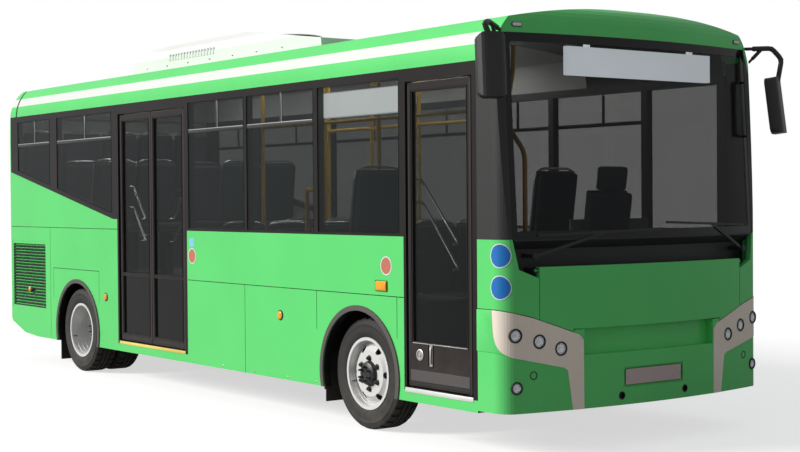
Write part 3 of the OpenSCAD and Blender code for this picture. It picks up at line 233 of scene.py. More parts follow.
def band(outline, width, thick, edge=0.0):
    """A flat frame inside an outline in X and Y, with rounded upper edges."""
    part = bmesh.new()
    face = part.faces.new([part.verts.new((x, y, 0.0)) for x, y in outline])
    bmesh.ops.inset_region(part, faces=[face], thickness=width, use_even_offset=True, use_boundary=True)
    bmesh.ops.delete(part, geom=[face], context="FACES_ONLY")
    pull_up(part, list(part.faces), thick)
    if edge:
        loops = [e for e in edges_above(part, thick / 2)
                 if any(abs(f.normal.z) < 0.5 for f in e.link_faces)]
        soften(part, loops, edge)
    return part


def swept(path, radius, sides=10):
    """A round bar along a path, with closed ends."""
    part = bmesh.new()
    path = [Vector(p) for p in path]
    steps = [(b - a).normalized() for a, b in zip(path, path[1:])]
    heads = [steps[0]] + [(a + b).normalized() for a, b in zip(steps, steps[1:])] + [steps[-1]]
    start = Matrix.Translation(path[0]) @ UP.rotation_difference(heads[0]).to_matrix().to_4x4()
    bmesh.ops.create_circle(part, cap_ends=False, segments=sides, radius=radius, matrix=start)
    ring = list(part.edges)
    for i in range(len(path) - 1):
        pulled = bmesh.ops.extrude_edge_only(part, edges=ring)["geom"]
        ring = [e for e in pulled if isinstance(e, bmesh.types.BMEdge)]
        moved = verts_of(pulled)
        turn = heads[i].rotation_difference(heads[i + 1]).to_matrix().to_4x4()
        step = Matrix.Translation(path[i + 1]) @ turn @ Matrix.Translation(-path[i])
        bmesh.ops.transform(part, matrix=step, verts=moved)
    bmesh.ops.holes_fill(part, edges=[e for e in part.edges if e.is_boundary], sides=0)
    bmesh.ops.recalc_face_normals(part, faces=part.faces)
    return part


def rounded(path, radius, steps=5):
    """A path with its corners rounded."""
    path = [Vector(p) for p in path]
    bent = [path[0]]
    for before, corner, after in zip(path, path[1:], path[2:]):
        a, b = (before - corner), (after - corner)
        reach = min(radius, a.length * 0.49, b.length * 0.49)
        start, end = corner + a.normalized() * reach, corner + b.normalized() * reach
        for i in range(steps + 1):
            t = i / steps
            bent.append((1 - t) ** 2 * start + 2 * t * (1 - t) * corner + t ** 2 * end)
    return bent + [path[-1]]


def soft_rect(width, height, radius, steps=5):
    """Outline of a rectangle with round corners about the origin."""
    points = []
    for sx, sy, start in ((1, 1, 0), (-1, 1, 90), (-1, -1, 180), (1, -1, 270)):
        for i in range(steps + 1):
            a = math.radians(start + 90 * i / steps)
            points.append((sx * (width / 2 - radius) + radius * math.cos(a),
                           sy * (height / 2 - radius) + radius * math.sin(a)))
    return points


def oblong(x0, z0, x1, z1):
    """Outline of a plain rectangle between two corners."""
    return [(x0, z0), (x1, z0), (x1, z1), (x0, z1)]


def about(place, degrees):
    """The place, turned about its own Z axis."""
    return place @ Matrix.Rotation(math.radians(degrees), 4, "Z")


def placed(part, place):
    """The part, moved to its place."""
    part.transform(place)
    return part


def show(name, parts, material, body="body", replaces=(), angle=38):
    """One piece from several parts, riding a body."""
    whole = bmesh.new()
    for part in parts:
        carrier = bpy.data.meshes.new("carrier")
        part.to_mesh(carrier)
        part.free()
        whole.from_mesh(carrier)
        bpy.data.meshes.remove(carrier)
    mesh = bpy.data.meshes.new(name)
    whole.to_mesh(mesh)
    whole.free()
    mesh.materials.append(material)
    mesh.shade_smooth()
    mesh.set_sharp_from_angle(angle=math.radians(angle))
    piece = bpy.data.objects.new(name, mesh)
    bpy.context.scene.collection.objects.link(piece)
    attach(piece, body)
    if replaces:
        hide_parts(*replaces)
    return piece


# Shader helpers

def socket(group, name, kind, out=False, value=None):
    """Adds an input or output to a node group."""
    made = group.interface.new_socket(
        name=name, in_out="OUTPUT" if out else "INPUT", socket_type="NodeSocket" + kind)
    if value is not None:
        made.default_value = value


def math_node(tree, operation, a, b=None, clamp=False):
    """Result of a sum on sockets or numbers."""
    node = tree.nodes.new("ShaderNodeMath")
    node.operation = operation
    node.use_clamp = clamp
    for slot, value in zip(node.inputs, (a, b)):
        if value is None:
            continue
        if isinstance(value, (int, float)):
            slot.default_value = value
        else:
            tree.links.new(value, slot)
    return node.outputs[0]


def mix_colour(tree, mask, a, b):
    """Colour a where the mask is 0, and colour b where it is 1."""
    node = tree.nodes.new("ShaderNodeMix")
    node.data_type = "RGBA"
    for slot, value in ((node.inputs[0], mask), (node.inputs[6], a), (node.inputs[7], b)):
        if isinstance(value, tuple):
            slot.default_value = (*value, 1.0)
        else:
            tree.links.new(value, slot)
    return node.outputs[2]


def noise(tree, coordinates, scale, detail=3.0, rough=0.55):
    """Cloudy noise at the given coordinates."""
    node = tree.nodes.new("ShaderNodeTexNoise")
    node.inputs["Scale"].default_value = scale
    node.inputs["Detail"].default_value = detail
    node.inputs["Roughness"].default_value = rough
    tree.links.new(coordinates, node.inputs["Vector"])
    return node.outputs["Fac"]


def ramp(tree, value, low, high):
    """0 at low, 1 at high, and even in between."""
    node = tree.nodes.new("ShaderNodeMapRange")
    node.inputs["From Min"].default_value = low
    node.inputs["From Max"].default_value = high
    node.clamp = True
    tree.links.new(value, node.inputs["Value"])
    return node.outputs["Result"]


def grain_group():
    """Fine and broad unevenness of a surface."""
    group = bpy.data.node_groups.new("surface_grain", "ShaderNodeTree")
    socket(group, "Fine", "Float", value=120.0)
    socket(group, "Broad", "Float", value=1.5)
    socket(group, "Fine Height", "Float", out=True)
    socket(group, "Broad Shade", "Float", out=True)
    start = group.nodes.new("NodeGroupInput")
    end = group.nodes.new("NodeGroupOutput")
    place = group.nodes.new("ShaderNodeTexCoord").outputs["Object"]
    for given, name, detail in (("Fine", "Fine Height", 2.0), ("Broad", "Broad Shade", 4.0)):
        node = group.nodes.new("ShaderNodeTexNoise")
        node.inputs["Detail"].default_value = detail
        group.links.new(place, node.inputs["Vector"])
        group.links.new(start.outputs[given], node.inputs["Scale"])
        group.links.new(node.outputs["Fac"], end.inputs[name])
    return group


def dust_group():
    """Road dust that thins out with height."""
    group = bpy.data.node_groups.new("road_dust", "ShaderNodeTree")
    socket(group, "Top", "Float", value=0.9)
    socket(group, "Amount", "Float", value=0.35)
    socket(group, "Mask", "Float", out=True)
    start = group.nodes.new("NodeGroupInput")
    end = group.nodes.new("NodeGroupOutput")
    place = group.nodes.new("ShaderNodeTexCoord").outputs["Object"]
    split = group.nodes.new("ShaderNodeSeparateXYZ")
    group.links.new(place, split.inputs[0])
    height = math_node(group, "DIVIDE", split.outputs["Z"], start.outputs["Top"])
    low = math_node(group, "SUBTRACT", 1.0, height, clamp=True)
    speck = ramp(group, noise(group, place, 9.0, 6.0, 0.65), 0.35, 0.75)
    mask = math_node(group, "MULTIPLY", low, speck)
    dusty = math_node(group, "MULTIPLY", mask, start.outputs["Amount"], clamp=True)
    group.links.new(dusty, end.inputs["Mask"])
    return group


GROUPS = {}


def shared(name):
    """The shared node group of that name, built once."""
    if name not in GROUPS:
        GROUPS[name] = {"grain": grain_group, "dust": dust_group}[name]()
    return GROUPS[name]


def place_group(tree, name, **values):
    """Node of a shared group, with its inputs set."""
    node = tree.nodes.new("ShaderNodeGroup")
    node.node_tree = shared(name)
    for key, value in values.items():
        node.inputs[key.replace("_", " ").title()].default_value = value
    return node


FINISHES = {}


ROAD_DUST = (0.33, 0.29, 0.23)
DUST_MATT = 0.45
COAT_ROUGH = 0.06
GRAIN_DEPTH = 0.002
GLASS_EDGE = 0.22
GLASS_BLEND = 0.25


def finish(name, colour, rough=0.4, metal=0.0, coat=0.0, fine=160.0, bump=0.05, broad=1.5, shade=0.12,
           spread=0.08, dust=0.0, dust_top=0.9, mark=None, lining=(), specular=0.35, alpha=None, solid=None,
           glow=0.0):
    """A procedural finish with broad shading, surface grain, dust low down, painted marks and linings, some
    of which are painted shade.
    """
    if name in FINISHES:
        return FINISHES[name]
    material = bpy.data.materials.new(name)
    material.use_nodes = True
    tree = material.node_tree
    shader = tree.nodes["Principled BSDF"]
    grain = place_group(tree, "grain", fine=fine, broad=broad)
    dark = tuple(c * (1.0 - shade) for c in colour)
    light = tuple(min(1.0, c * (1.0 + shade * 0.6)) for c in colour)
    tone = mix_colour(tree, ramp(tree, grain.outputs["Broad Shade"], 0.3, 0.7), dark, light)
    if mark:
        tone = mark(tree, tone)
    for mask, inner in lining:
        tone = mix_colour(tree, mask(tree), tone, inner)
    roughness = math_node(tree, "ADD", math_node(tree, "MULTIPLY", grain.outputs["Broad Shade"], spread),
                          rough - spread * 0.5, clamp=True)
    if dust:
        film = place_group(tree, "dust", top=dust_top, amount=dust)
        tone = mix_colour(tree, film.outputs["Mask"], tone, ROAD_DUST)
        matt = math_node(tree, "MULTIPLY", film.outputs["Mask"], DUST_MATT)
        roughness = math_node(tree, "ADD", roughness, matt, clamp=True)
    tree.links.new(tone, shader.inputs["Base Color"])
    tree.links.new(roughness, shader.inputs["Roughness"])
    shader.inputs["Metallic"].default_value = metal
    shader.inputs["Coat Weight"].default_value = coat
    shader.inputs["Coat Roughness"].default_value = COAT_ROUGH
    shader.inputs["Specular IOR Level"].default_value = specular
    if bump:
        relief = tree.nodes.new("ShaderNodeBump")
        relief.inputs["Strength"].default_value = bump
        relief.inputs["Distance"].default_value = GRAIN_DEPTH
        tree.links.new(grain.outputs["Fine Height"], relief.inputs["Height"])
        tree.links.new(relief.outputs["Normal"], shader.inputs["Normal"])
    if glow:
        tree.links.new(tone, shader.inputs["Emission Color"])
        shader.inputs["Emission Strength"].default_value = glow
    if alpha is not None:
        rim = tree.nodes.new("ShaderNodeLayerWeight")
        rim.inputs["Blend"].default_value = GLASS_BLEND
        haze = math_node(tree, "MULTIPLY", rim.outputs["Facing"], GLASS_EDGE)
        veil = math_node(tree, "ADD", haze, alpha, clamp=True)
        if solid:
            veil = math_node(tree, "MAXIMUM", veil, solid(tree))
        tree.links.new(veil, shader.inputs["Alpha"])
    FINISHES[name] = material
    return material


def object_axis(tree, axis):
    """One of the object's coordinates."""
    place = tree.nodes.new("ShaderNodeTexCoord").outputs["Object"]
    split = tree.nodes.new("ShaderNodeSeparateXYZ")
    tree.links.new(place, split.inputs[0])
    return split.outputs[axis]


def between(tree, value, low, high):
    """Mask of the values between two limits."""
    above = math_node(tree, "GREATER_THAN", value, low)
    below = math_node(tree, "LESS_THAN", value, high)
    return math_node(tree, "MULTIPLY", above, below)


def side_distance(tree):
    """Distance from the centre line."""
    return math_node(tree, "ABSOLUTE", object_axis(tree, "Y"))


# Where the linings, painted marks and painted shade begin and end
WALL_REVEAL = SIDE - 0.018
WALL_SEAM = SIDE - 0.0022
ARCH_R = 0.53
CAB_X = 2.30
STRIPE_Z = (2.662, 2.742)
STRIPE_Y = 1.08
SCREEN_Z = (1.452, 2.668)
SCREEN_Y = 1.098
LOWER_PANE_TOP = 0.99
LOWER_PANE_TINT = 0.93
BOX_TOP = 0.94
BOX_Y = 0.60
BOX_X = (1.80, 3.02)


def wall_inside(tree):
    """Mask of a side wall's inner face and reveals."""
    return math_node(tree, "LESS_THAN", side_distance(tree), WALL_REVEAL)


def wall_gap(tree):
    """Mask of the seams sunk into a side wall's face, where shade is painted."""
    return math_node(tree, "LESS_THAN", side_distance(tree), WALL_SEAM)


def wheel_arch_shade(tree):
    """Mask of a side wall's cut faces round the wheels, painted near-black as shade inside the wheel
    openings.
    """
    rings = []
    for name in ("tyre_front_right", "tyre_rear_right"):
        low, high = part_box(name)
        away = [math_node(tree, "SUBTRACT", object_axis(tree, axis), (low[i] + high[i]) / 2)
                for axis, i in (("X", 0), ("Z", 2))]
        far = math_node(tree, "ADD", *[math_node(tree, "MULTIPLY", gap, gap) for gap in away])
        rings.append(math_node(tree, "LESS_THAN", far, ARCH_R ** 2))
    return math_node(tree, "MULTIPLY", wall_gap(tree), math_node(tree, "MAXIMUM", *rings))


def outward(tree, forward):
    """How far a face looks out of the body, where forward is -1 at the rear and 0 along the roof."""
    normal = tree.nodes.new("ShaderNodeNewGeometry").outputs["Normal"]
    split = tree.nodes.new("ShaderNodeSeparateXYZ")
    tree.links.new(normal, split.inputs[0])
    side = math_node(tree, "SIGN", object_axis(tree, "Y"))
    sideways = math_node(tree, "MULTIPLY", split.outputs["Y"], side)
    look = math_node(tree, "ADD", sideways, split.outputs["Z"])
    return math_node(tree, "ADD", look, math_node(tree, "MULTIPLY", split.outputs["X"], forward))


def roof_inside(tree):
    """Mask of the roof's inner face."""
    return math_node(tree, "LESS_THAN", outward(tree, 0.0), -0.2)


def cab_ceiling(tree):
    """Mask of the dark ceiling over the cab."""
    ahead = math_node(tree, "GREATER_THAN", object_axis(tree, "X"), CAB_X)
    return math_node(tree, "MULTIPLY", roof_inside(tree), ahead)


def rear_inside(tree):
    """Mask of the rear wall's inner face."""
    return math_node(tree, "LESS_THAN", outward(tree, -1.0), -0.3)


def roof_stripe(colour):
    """White stripe along the roof edge, as far as the rear corners."""
    def paint(tree, tone):
        level = between(tree, object_axis(tree, "Z"), *STRIPE_Z)
        flank = math_node(tree, "GREATER_THAN", side_distance(tree), STRIPE_Y)
        return mix_colour(tree, math_node(tree, "MULTIPLY", level, flank), tone, colour)
    return paint


def screen_border(tree):
    """Mask of the black border printed round the windscreen."""
    low = math_node(tree, "LESS_THAN", object_axis(tree, "Z"), SCREEN_Z[0])
    high = math_node(tree, "GREATER_THAN", object_axis(tree, "Z"), SCREEN_Z[1])
    flank = math_node(tree, "GREATER_THAN", side_distance(tree), SCREEN_Y)
    return math_node(tree, "MAXIMUM", math_node(tree, "MAXIMUM", high, low), flank)


def lower_pane(tree):
    """Mask of the dark lower pane of a middle door leaf."""
    low = math_node(tree, "LESS_THAN", object_axis(tree, "Z"), LOWER_PANE_TOP)
    return math_node(tree, "MULTIPLY", low, LOWER_PANE_TINT)


def arch_recess(colour):
    """Near-black inside the wheel boxes: their dark underseal, deepened with painted shade."""
    def paint(tree, tone):
        low = math_node(tree, "LESS_THAN", object_axis(tree, "Z"), BOX_TOP)
        flank = math_node(tree, "GREATER_THAN", side_distance(tree), BOX_Y)
        near = between(tree, math_node(tree, "ABSOLUTE", object_axis(tree, "X")), *BOX_X)
        box = math_node(tree, "MULTIPLY", near, math_node(tree, "MULTIPLY", low, flank))
        return mix_colour(tree, box, tone, colour)
    return paint


# Finishes of the CAD nodes

WHEELS = ("front_right", "front_left", "rear_right", "rear_left")


def node_finishes(colours):
    """Finish of each CAD node."""
    body, band_black, lining = tuple(colours.body), tuple(colours.band), tuple(colours.lining)
    stripe = roof_stripe(tuple(colours.stripe))
    paint = dict(rough=0.28, coat=0.10, fine=26.0, bump=0.008, shade=0.04, spread=0.05, specular=0.18)
    black = dict(rough=0.34, coat=0.04, fine=30.0, bump=0.01, shade=0.10, specular=0.16)
    grained = dict(rough=0.55, fine=700.0, bump=0.25, shade=0.10)
    metal = dict(rough=0.5, fine=260.0, bump=0.2, shade=0.25, dust=0.5, dust_top=1.0)
    glass = dict(rough=0.03, fine=3.0, bump=0.0, shade=0.10, spread=0.02, specular=0.25)
    # Painted shade: dark green in the sunk seams and near-black on the cut faces round the wheels; the pale
    # lining is the saloon's own colour.
    wall_lining_and_shade = [(wall_gap, (0.012, 0.05, 0.016)), (wall_inside, lining),
                   (wheel_arch_shade, (0.008, 0.008, 0.008))]
    walls = finish("body_paint_walls", body, dust=0.08, dust_top=0.85, lining=wall_lining_and_shade, **paint)
    panels = finish("body_paint_panels", body, dust=0.18, dust_top=0.70, **paint)
    roof = finish("body_paint_roof", body, mark=stripe, **paint,
                  lining=[(roof_inside, (0.56, 0.57, 0.56)), (cab_ceiling, (0.035, 0.035, 0.035))])
    cap = finish("body_paint_cap", body, **paint)
    rear = finish("body_paint_rear", body, dust=0.22, dust_top=0.9, mark=stripe,
                  lining=[(rear_inside, lining)], **paint)
    frames = finish("window_band_black", band_black, lining=[(wall_inside, (0.04, 0.04, 0.042))], **black)
    doors = finish("door_black", (0.024, 0.019, 0.019), dust=0.15, dust_top=0.8, **black)
    moulding = finish("black_moulding", (0.016, 0.016, 0.017), **grained)
    steel = finish("chassis_paint", (0.035, 0.036, 0.038), **metal)
    silver = finish("wheel_silver_paint", (0.68, 0.68, 0.68), rough=0.32, metal=0.10, fine=300.0, bump=0.06,
                    shade=0.06, dust=0.22, dust_top=0.75)
    rubber = finish("tyre_rubber", (0.020, 0.019, 0.019), rough=0.72, fine=220.0, bump=0.25, shade=0.2,
                    dust=0.14, dust_top=0.85)
    tint = finish("tinted_glass", (0.010, 0.013, 0.013), alpha=0.50, **glass)
    door_tint = finish("door_glass", (0.006, 0.007, 0.007), alpha=0.48, solid=lower_pane, **glass)
    screen = finish("windscreen_glass", (0.007, 0.007, 0.008), alpha=0.34, solid=screen_border, **glass)
    cloth = finish("seat_shell", (0.055, 0.058, 0.062), rough=0.6, fine=900.0, bump=0.2, shade=0.15)
    return {
        # The floor deck is near-black inside the wheel boxes: underseal with painted shade.
        "floor_deck": finish("floor_covering", (0.16, 0.165, 0.17), rough=0.7, fine=900.0, bump=0.3,
                             shade=0.2, mark=arch_recess((0.012, 0.012, 0.012))),
        "chassis_frame": steel, "front_axle": steel, "rear_axle": steel, "knuckle_right": steel,
        "knuckle_left": steel, "tie_rod": steel, "lower_sides": walls, "window_frames": frames,
        "roof_shell": roof, "rear_wall": rear, "front_cap": cap, "front_trim": moulding,
        "corner_panels": panels, "bumper_front": panels, "front_flap": cap, "engine_door": rear,
        "lamp_bezels": finish("bezel_silver_paint", tuple(colours.bezel), rough=0.36, metal=0.05, fine=520.0,
                              bump=0.04, shade=0.07, coat=0.1),
        "head_lamps": finish("lamp_glass", (0.72, 0.76, 0.78), rough=0.12, metal=0.2, fine=60.0,
                             bump=0.3, shade=0.2),
        "wipers": moulding, "steering_wheel": moulding, "windscreen": screen, "window_glass": tint,
        "mirrors": finish("mirror_moulding", (0.020, 0.019, 0.020), rough=0.42, fine=800.0, bump=0.2,
                          shade=0.10),
        "arch_trims": finish("arch_rubber", (0.085, 0.078, 0.072), rough=0.62, fine=500.0, bump=0.2,
                             shade=0.12),
        "engine_grilles": finish("grille_paint", body, dust=0.2, dust_top=1.4, **paint),
        "dashboard": finish("cab_moulding", (0.075, 0.078, 0.082), **grained),
        "cab_partition": finish("cab_panel", (0.20, 0.205, 0.21), **grained),
        "driver_seat": cloth, "passenger_seats": cloth,
        "handrails": finish("rail_powder_coat", tuple(colours.rails), rough=0.38, fine=600.0,
                            bump=0.08, shade=0.08),
        # The blank sign boards glow as painted light.
        "sign_boards": finish("blank_sign_painted_glow", (0.70, 0.75, 0.80), rough=0.6, fine=900.0, bump=0.05,
                              shade=0.04, glow=1.2),
        "roof_unit": finish("roof_unit_white", (0.74, 0.75, 0.74), rough=0.42, fine=300.0,
                            bump=0.05, shade=0.05),
        "engine_block": finish("engine_casting", (0.16, 0.16, 0.165), rough=0.65, metal=0.3, fine=200.0,
                               bump=0.5, shade=0.3, dust=0.6, dust_top=1.6),
        "springs": rubber, "mud_flaps": rubber,
        "underfloor_tanks": finish("tank_metal", (0.42, 0.43, 0.44), rough=0.45, metal=0.7, fine=250.0,
                                   bump=0.12, shade=0.15, dust=0.5, dust_top=1.2),
        "tail_lamps": finish("red_lens", (0.42, 0.012, 0.012), rough=0.15, coat=0.5, fine=90.0, bump=0.4,
                             shade=0.2),
        "marker_lamps": finish("amber_lens", (0.86, 0.36, 0.015), rough=0.18, coat=0.4, fine=120.0, bump=0.4,
                               shade=0.15),
        "front_door": doors, "mid_door_front": doors, "mid_door_rear": doors, "front_door_glass": tint,
        "mid_door_front_glass": door_tint, "mid_door_rear_glass": door_tint,
        **{"tyre_" + w: rubber for w in WHEELS}, **{"wheel_" + w: silver for w in WHEELS},
    }


# Finishes of the added pieces

EXTRA = {
    "seal_rubber": dict(colour=(0.012, 0.012, 0.013), rough=0.58, fine=500.0, bump=0.10),
    "bar_black": dict(colour=(0.030, 0.027, 0.028), rough=0.36, fine=500.0, bump=0.06),
    "aluminium": dict(colour=(0.62, 0.62, 0.62), rough=0.34, metal=0.75, fine=420.0, bump=0.06, shade=0.06),
    "chrome": dict(colour=(0.80, 0.81, 0.82), rough=0.09, metal=1.0, fine=60.0, bump=0.02, shade=0.05,
                   spread=0.03),
    "lens_clear": dict(colour=(0.80, 0.84, 0.86), rough=0.06, alpha=0.16, fine=90.0, bump=0.10, specular=0.6),
    # Near-black for the wheel nuts, hub caps and valves: painted shade for the nuts' shadow sides and the
    # hub's recess, over the caps' own dark colour.
    "hub_painted_shade": dict(colour=(0.045, 0.044, 0.045), rough=0.42, metal=0.5, fine=240.0, bump=0.15, shade=0.2),
    "nut_steel": dict(colour=(0.40, 0.39, 0.38), rough=0.42, metal=0.85, fine=320.0, bump=0.1, shade=0.2),
    "sticker_blue": dict(colour=(0.006, 0.15, 0.48), rough=0.42, fine=300.0, bump=0.02, shade=0.04),
    "sticker_white": dict(colour=(0.72, 0.73, 0.74), rough=0.42, fine=300.0, bump=0.02, shade=0.03),
    "sticker_red": dict(colour=(0.50, 0.16, 0.10), rough=0.45, fine=300.0, bump=0.02, shade=0.10),
    "sticker_pale_blue": dict(colour=(0.22, 0.55, 0.78), rough=0.45, fine=300.0, bump=0.02, shade=0.05),
    "plate_silver": dict(colour=(0.52, 0.42, 0.41), rough=0.40, metal=0.10, fine=500.0, bump=0.06,
                         shade=0.08),
    "step_yellow": dict(colour=(0.80, 0.60, 0.14), rough=0.55, fine=600.0, bump=0.2, shade=0.15),
    "step_pale": dict(colour=(0.66, 0.68, 0.66), rough=0.45, metal=0.2, fine=500.0, bump=0.12, shade=0.10),
    "seat_cloth": dict(colour=(0.060, 0.066, 0.075), rough=0.88, fine=1600.0, bump=0.5, shade=0.2,
                       specular=0.2),
    "seat_tube": dict(colour=(0.62, 0.63, 0.64), rough=0.24, metal=0.9, fine=300.0, bump=0.03, shade=0.05),
    "pole_bronze": dict(colour=(0.55, 0.30, 0.03), rough=0.36, metal=0.2, fine=500.0, bump=0.06, shade=0.10),
    "mirror_face": dict(colour=(0.82, 0.84, 0.85), rough=0.03, metal=1.0, fine=30.0, bump=0.0, shade=0.02),
    "lamp_tube": dict(colour=(0.90, 0.92, 0.90), rough=0.4, fine=300.0, bump=0.0, shade=0.02, glow=15.0),
    "sign_face_painted_glow": dict(colour=(0.80, 0.86, 0.84), rough=0.6, fine=900.0, bump=0.02, shade=0.03, glow=2.2),
    # The side sign's blank face glows as painted light.
    "kick_grey": dict(colour=(0.075, 0.065, 0.068), rough=0.45, fine=500.0, bump=0.1, shade=0.10),
    "dial_dark": dict(colour=(0.015, 0.016, 0.018), rough=0.25, fine=300.0, bump=0.05, coat=0.3),
    "unit_white": dict(colour=(0.68, 0.69, 0.68), rough=0.5, fine=400.0, bump=0.1, shade=0.10),
}


def extra(name):
    """Finish of an added piece, or that of a CAD node which has the name."""
    return FINISHES.get(name) or finish(name, **EXTRA[name])


class CITYBUS_OT_finishes(bpy.types.Operator):
    """Gives every CAD node its finish"""
    bl_idname = "citybus.finishes"
    bl_label = "Finishes of the solids"

    def execute(self, context):
        for name, material in node_finishes(context.scene.citybus_colours).items():
            solid = NODES[name]
            solid.data.materials.clear()
            solid.data.materials.append(material)
        return {"FINISHED"}


# Wheels and tyres

TYRE_SKIN = [(0.3945, 0.0), (0.3945, 0.005), (0.405, 0.0065), (0.405, 0.034), (0.394, 0.036), (0.394, 0.046),
             (0.405, 0.048), (0.404, 0.078), (0.4005, 0.0895), (0.3925, 0.0985), (0.381, 0.1045),
             (0.362, 0.1085), (0.357, 0.1118), (0.352, 0.1118), (0.347, 0.1098), (0.325, 0.1120),
             (0.300, 0.1098), (0.280, 0.1050), (0.2705, 0.1000), (0.2640, 0.0965), (0.2520, 0.0880)]
TYRE_LINER = [(0.2520, 0.0740), (0.300, 0.0960), (0.372, 0.0880), (0.386, 0.0)]
TYRE_STEPS = 96
BLOCK_STEPS = 3
SHOULDER_R = 0.394
SHOULDER_H = (0.050, 0.0985)


def tyre(tread):
    """A tyre about Z with ribs, grooves and cut shoulder blocks."""
    half = TYRE_SKIN + TYRE_LINER[:-1]
    loop = [(r, -h) for r, h in reversed(half[1:])] + half + [TYRE_LINER[-1]]
    part = turned(loop, TYRE_STEPS, closed=True)
    pitch = 2 * math.pi / TYRE_STEPS
    groups = {}
    for face in part.faces:
        middle = face.calc_center_median()
        if middle.xy.length > SHOULDER_R and SHOULDER_H[0] < abs(middle.z) < SHOULDER_H[1]:
            turn = int(round(math.atan2(middle.y, middle.x) / pitch - 0.5))
            if turn % BLOCK_STEPS == 0:
                groups.setdefault((turn, middle.z > 0), []).append(face)
    for faces in groups.values():
        pulled = bmesh.ops.extrude_face_region(part, geom=faces)["geom"]
        moved = verts_of(pulled)
        inward = sum((v.co.xy for v in moved), Vector((0, 0))).normalized() * -tread
        bmesh.ops.translate(part, vec=(inward.x, inward.y, 0), verts=moved)
        bmesh.ops.delete(part, geom=[f for f in faces if f.is_valid], context="FACES_ONLY")
    bmesh.ops.recalc_face_normals(part, faces=part.faces)
    return part


def wheel_axes(name):
    """Outward place of each tyre of a wheel, worked out from the CAD tyre's box."""
    low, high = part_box("tyre_" + name)
    middle = (low + high) / 2
    out = math.copysign(1.0, middle.y)
    half = max(h for r, h in TYRE_SKIN)
    spots = [max(abs(low.y), abs(high.y)) - half]
    if high.y - low.y > 4 * half:
        spots.append(min(abs(low.y), abs(high.y)) + half)
    return [facing((middle.x, out * y, middle.z), (0, out, 0)) for y in spots]


WHEEL_BODY = dict(front_right="wheel_fr", front_left="wheel_fl", rear_right="wheel_rr", rear_left="wheel_rl")


class CITYBUS_OT_tyres(bpy.types.Operator):
    """Makes the tyres with their tread"""
    bl_idname = "citybus.tyres"
    bl_label = "Tyres"

    def execute(self, context):
        tread = context.scene.citybus_sizes.tread
        for name in WHEELS:
            parts = [placed(tyre(tread), place) for place in wheel_axes(name)]
            show("tyre_tread_" + name, parts, extra("tyre_rubber"), WHEEL_BODY[name],
                 ("tyre_" + name,), angle=30)
        return {"FINISHED"}


def wheel_nut(across):
    """A hexagon nut with its washer and stud about Z, standing on Z = 0."""
    washer = across * 0.68
    part = turned([(0.0, 0.0), (washer, 0.0), (washer, 0.004), (across * 0.52, 0.006), (0.0, 0.006)], 16)
    bmesh.ops.create_cone(part, cap_ends=True, segments=6, radius1=across / 2, radius2=across / 2,
                          depth=0.014, matrix=Matrix.Translation((0, 0, 0.012)))
    soften(part, edges_above(part, 0.016), 0.003)
    bmesh.ops.create_cone(part, cap_ends=True, segments=12, radius1=0.008, radius2=0.007, depth=0.010,
                          matrix=Matrix.Translation((0, 0, 0.022)))
    return part


# Heights along the wheel's axis start at the outer tyre's middle
NUT_CIRCLE = 0.1111
NUT_FACE = dict(front=0.084, rear=-0.114)
HUB_TOP = dict(front=0.1205, rear=-0.0295)
HUB_R = dict(front=0.082, rear=0.0865)
RIM_RINGS = dict(front=(0.062,), rear=(0.062, 0.020, -0.022))
HOLE_R = 0.193
HOLE_SLOPE = 0.864
HUB_BOLT = 0.016
VALVE_TURN = 200


def hole_shade():
    """A dark cup inside a hand hole of the front wheel's sloping disc, as painted shade that makes the hole
    look dark.
    """
    cup = turned([(0.0, 0.042), (0.0246, 0.042), (0.0246, 0.064), (0.0232, 0.064), (0.0232, 0.044),
                  (0.0, 0.044)], 24)
    for vert in cup.verts:
        if vert.co.z > 0.06:
            vert.co.z -= vert.co.x * HOLE_SLOPE
    return placed(cup, Matrix.Translation((HOLE_R, 0, 0)))


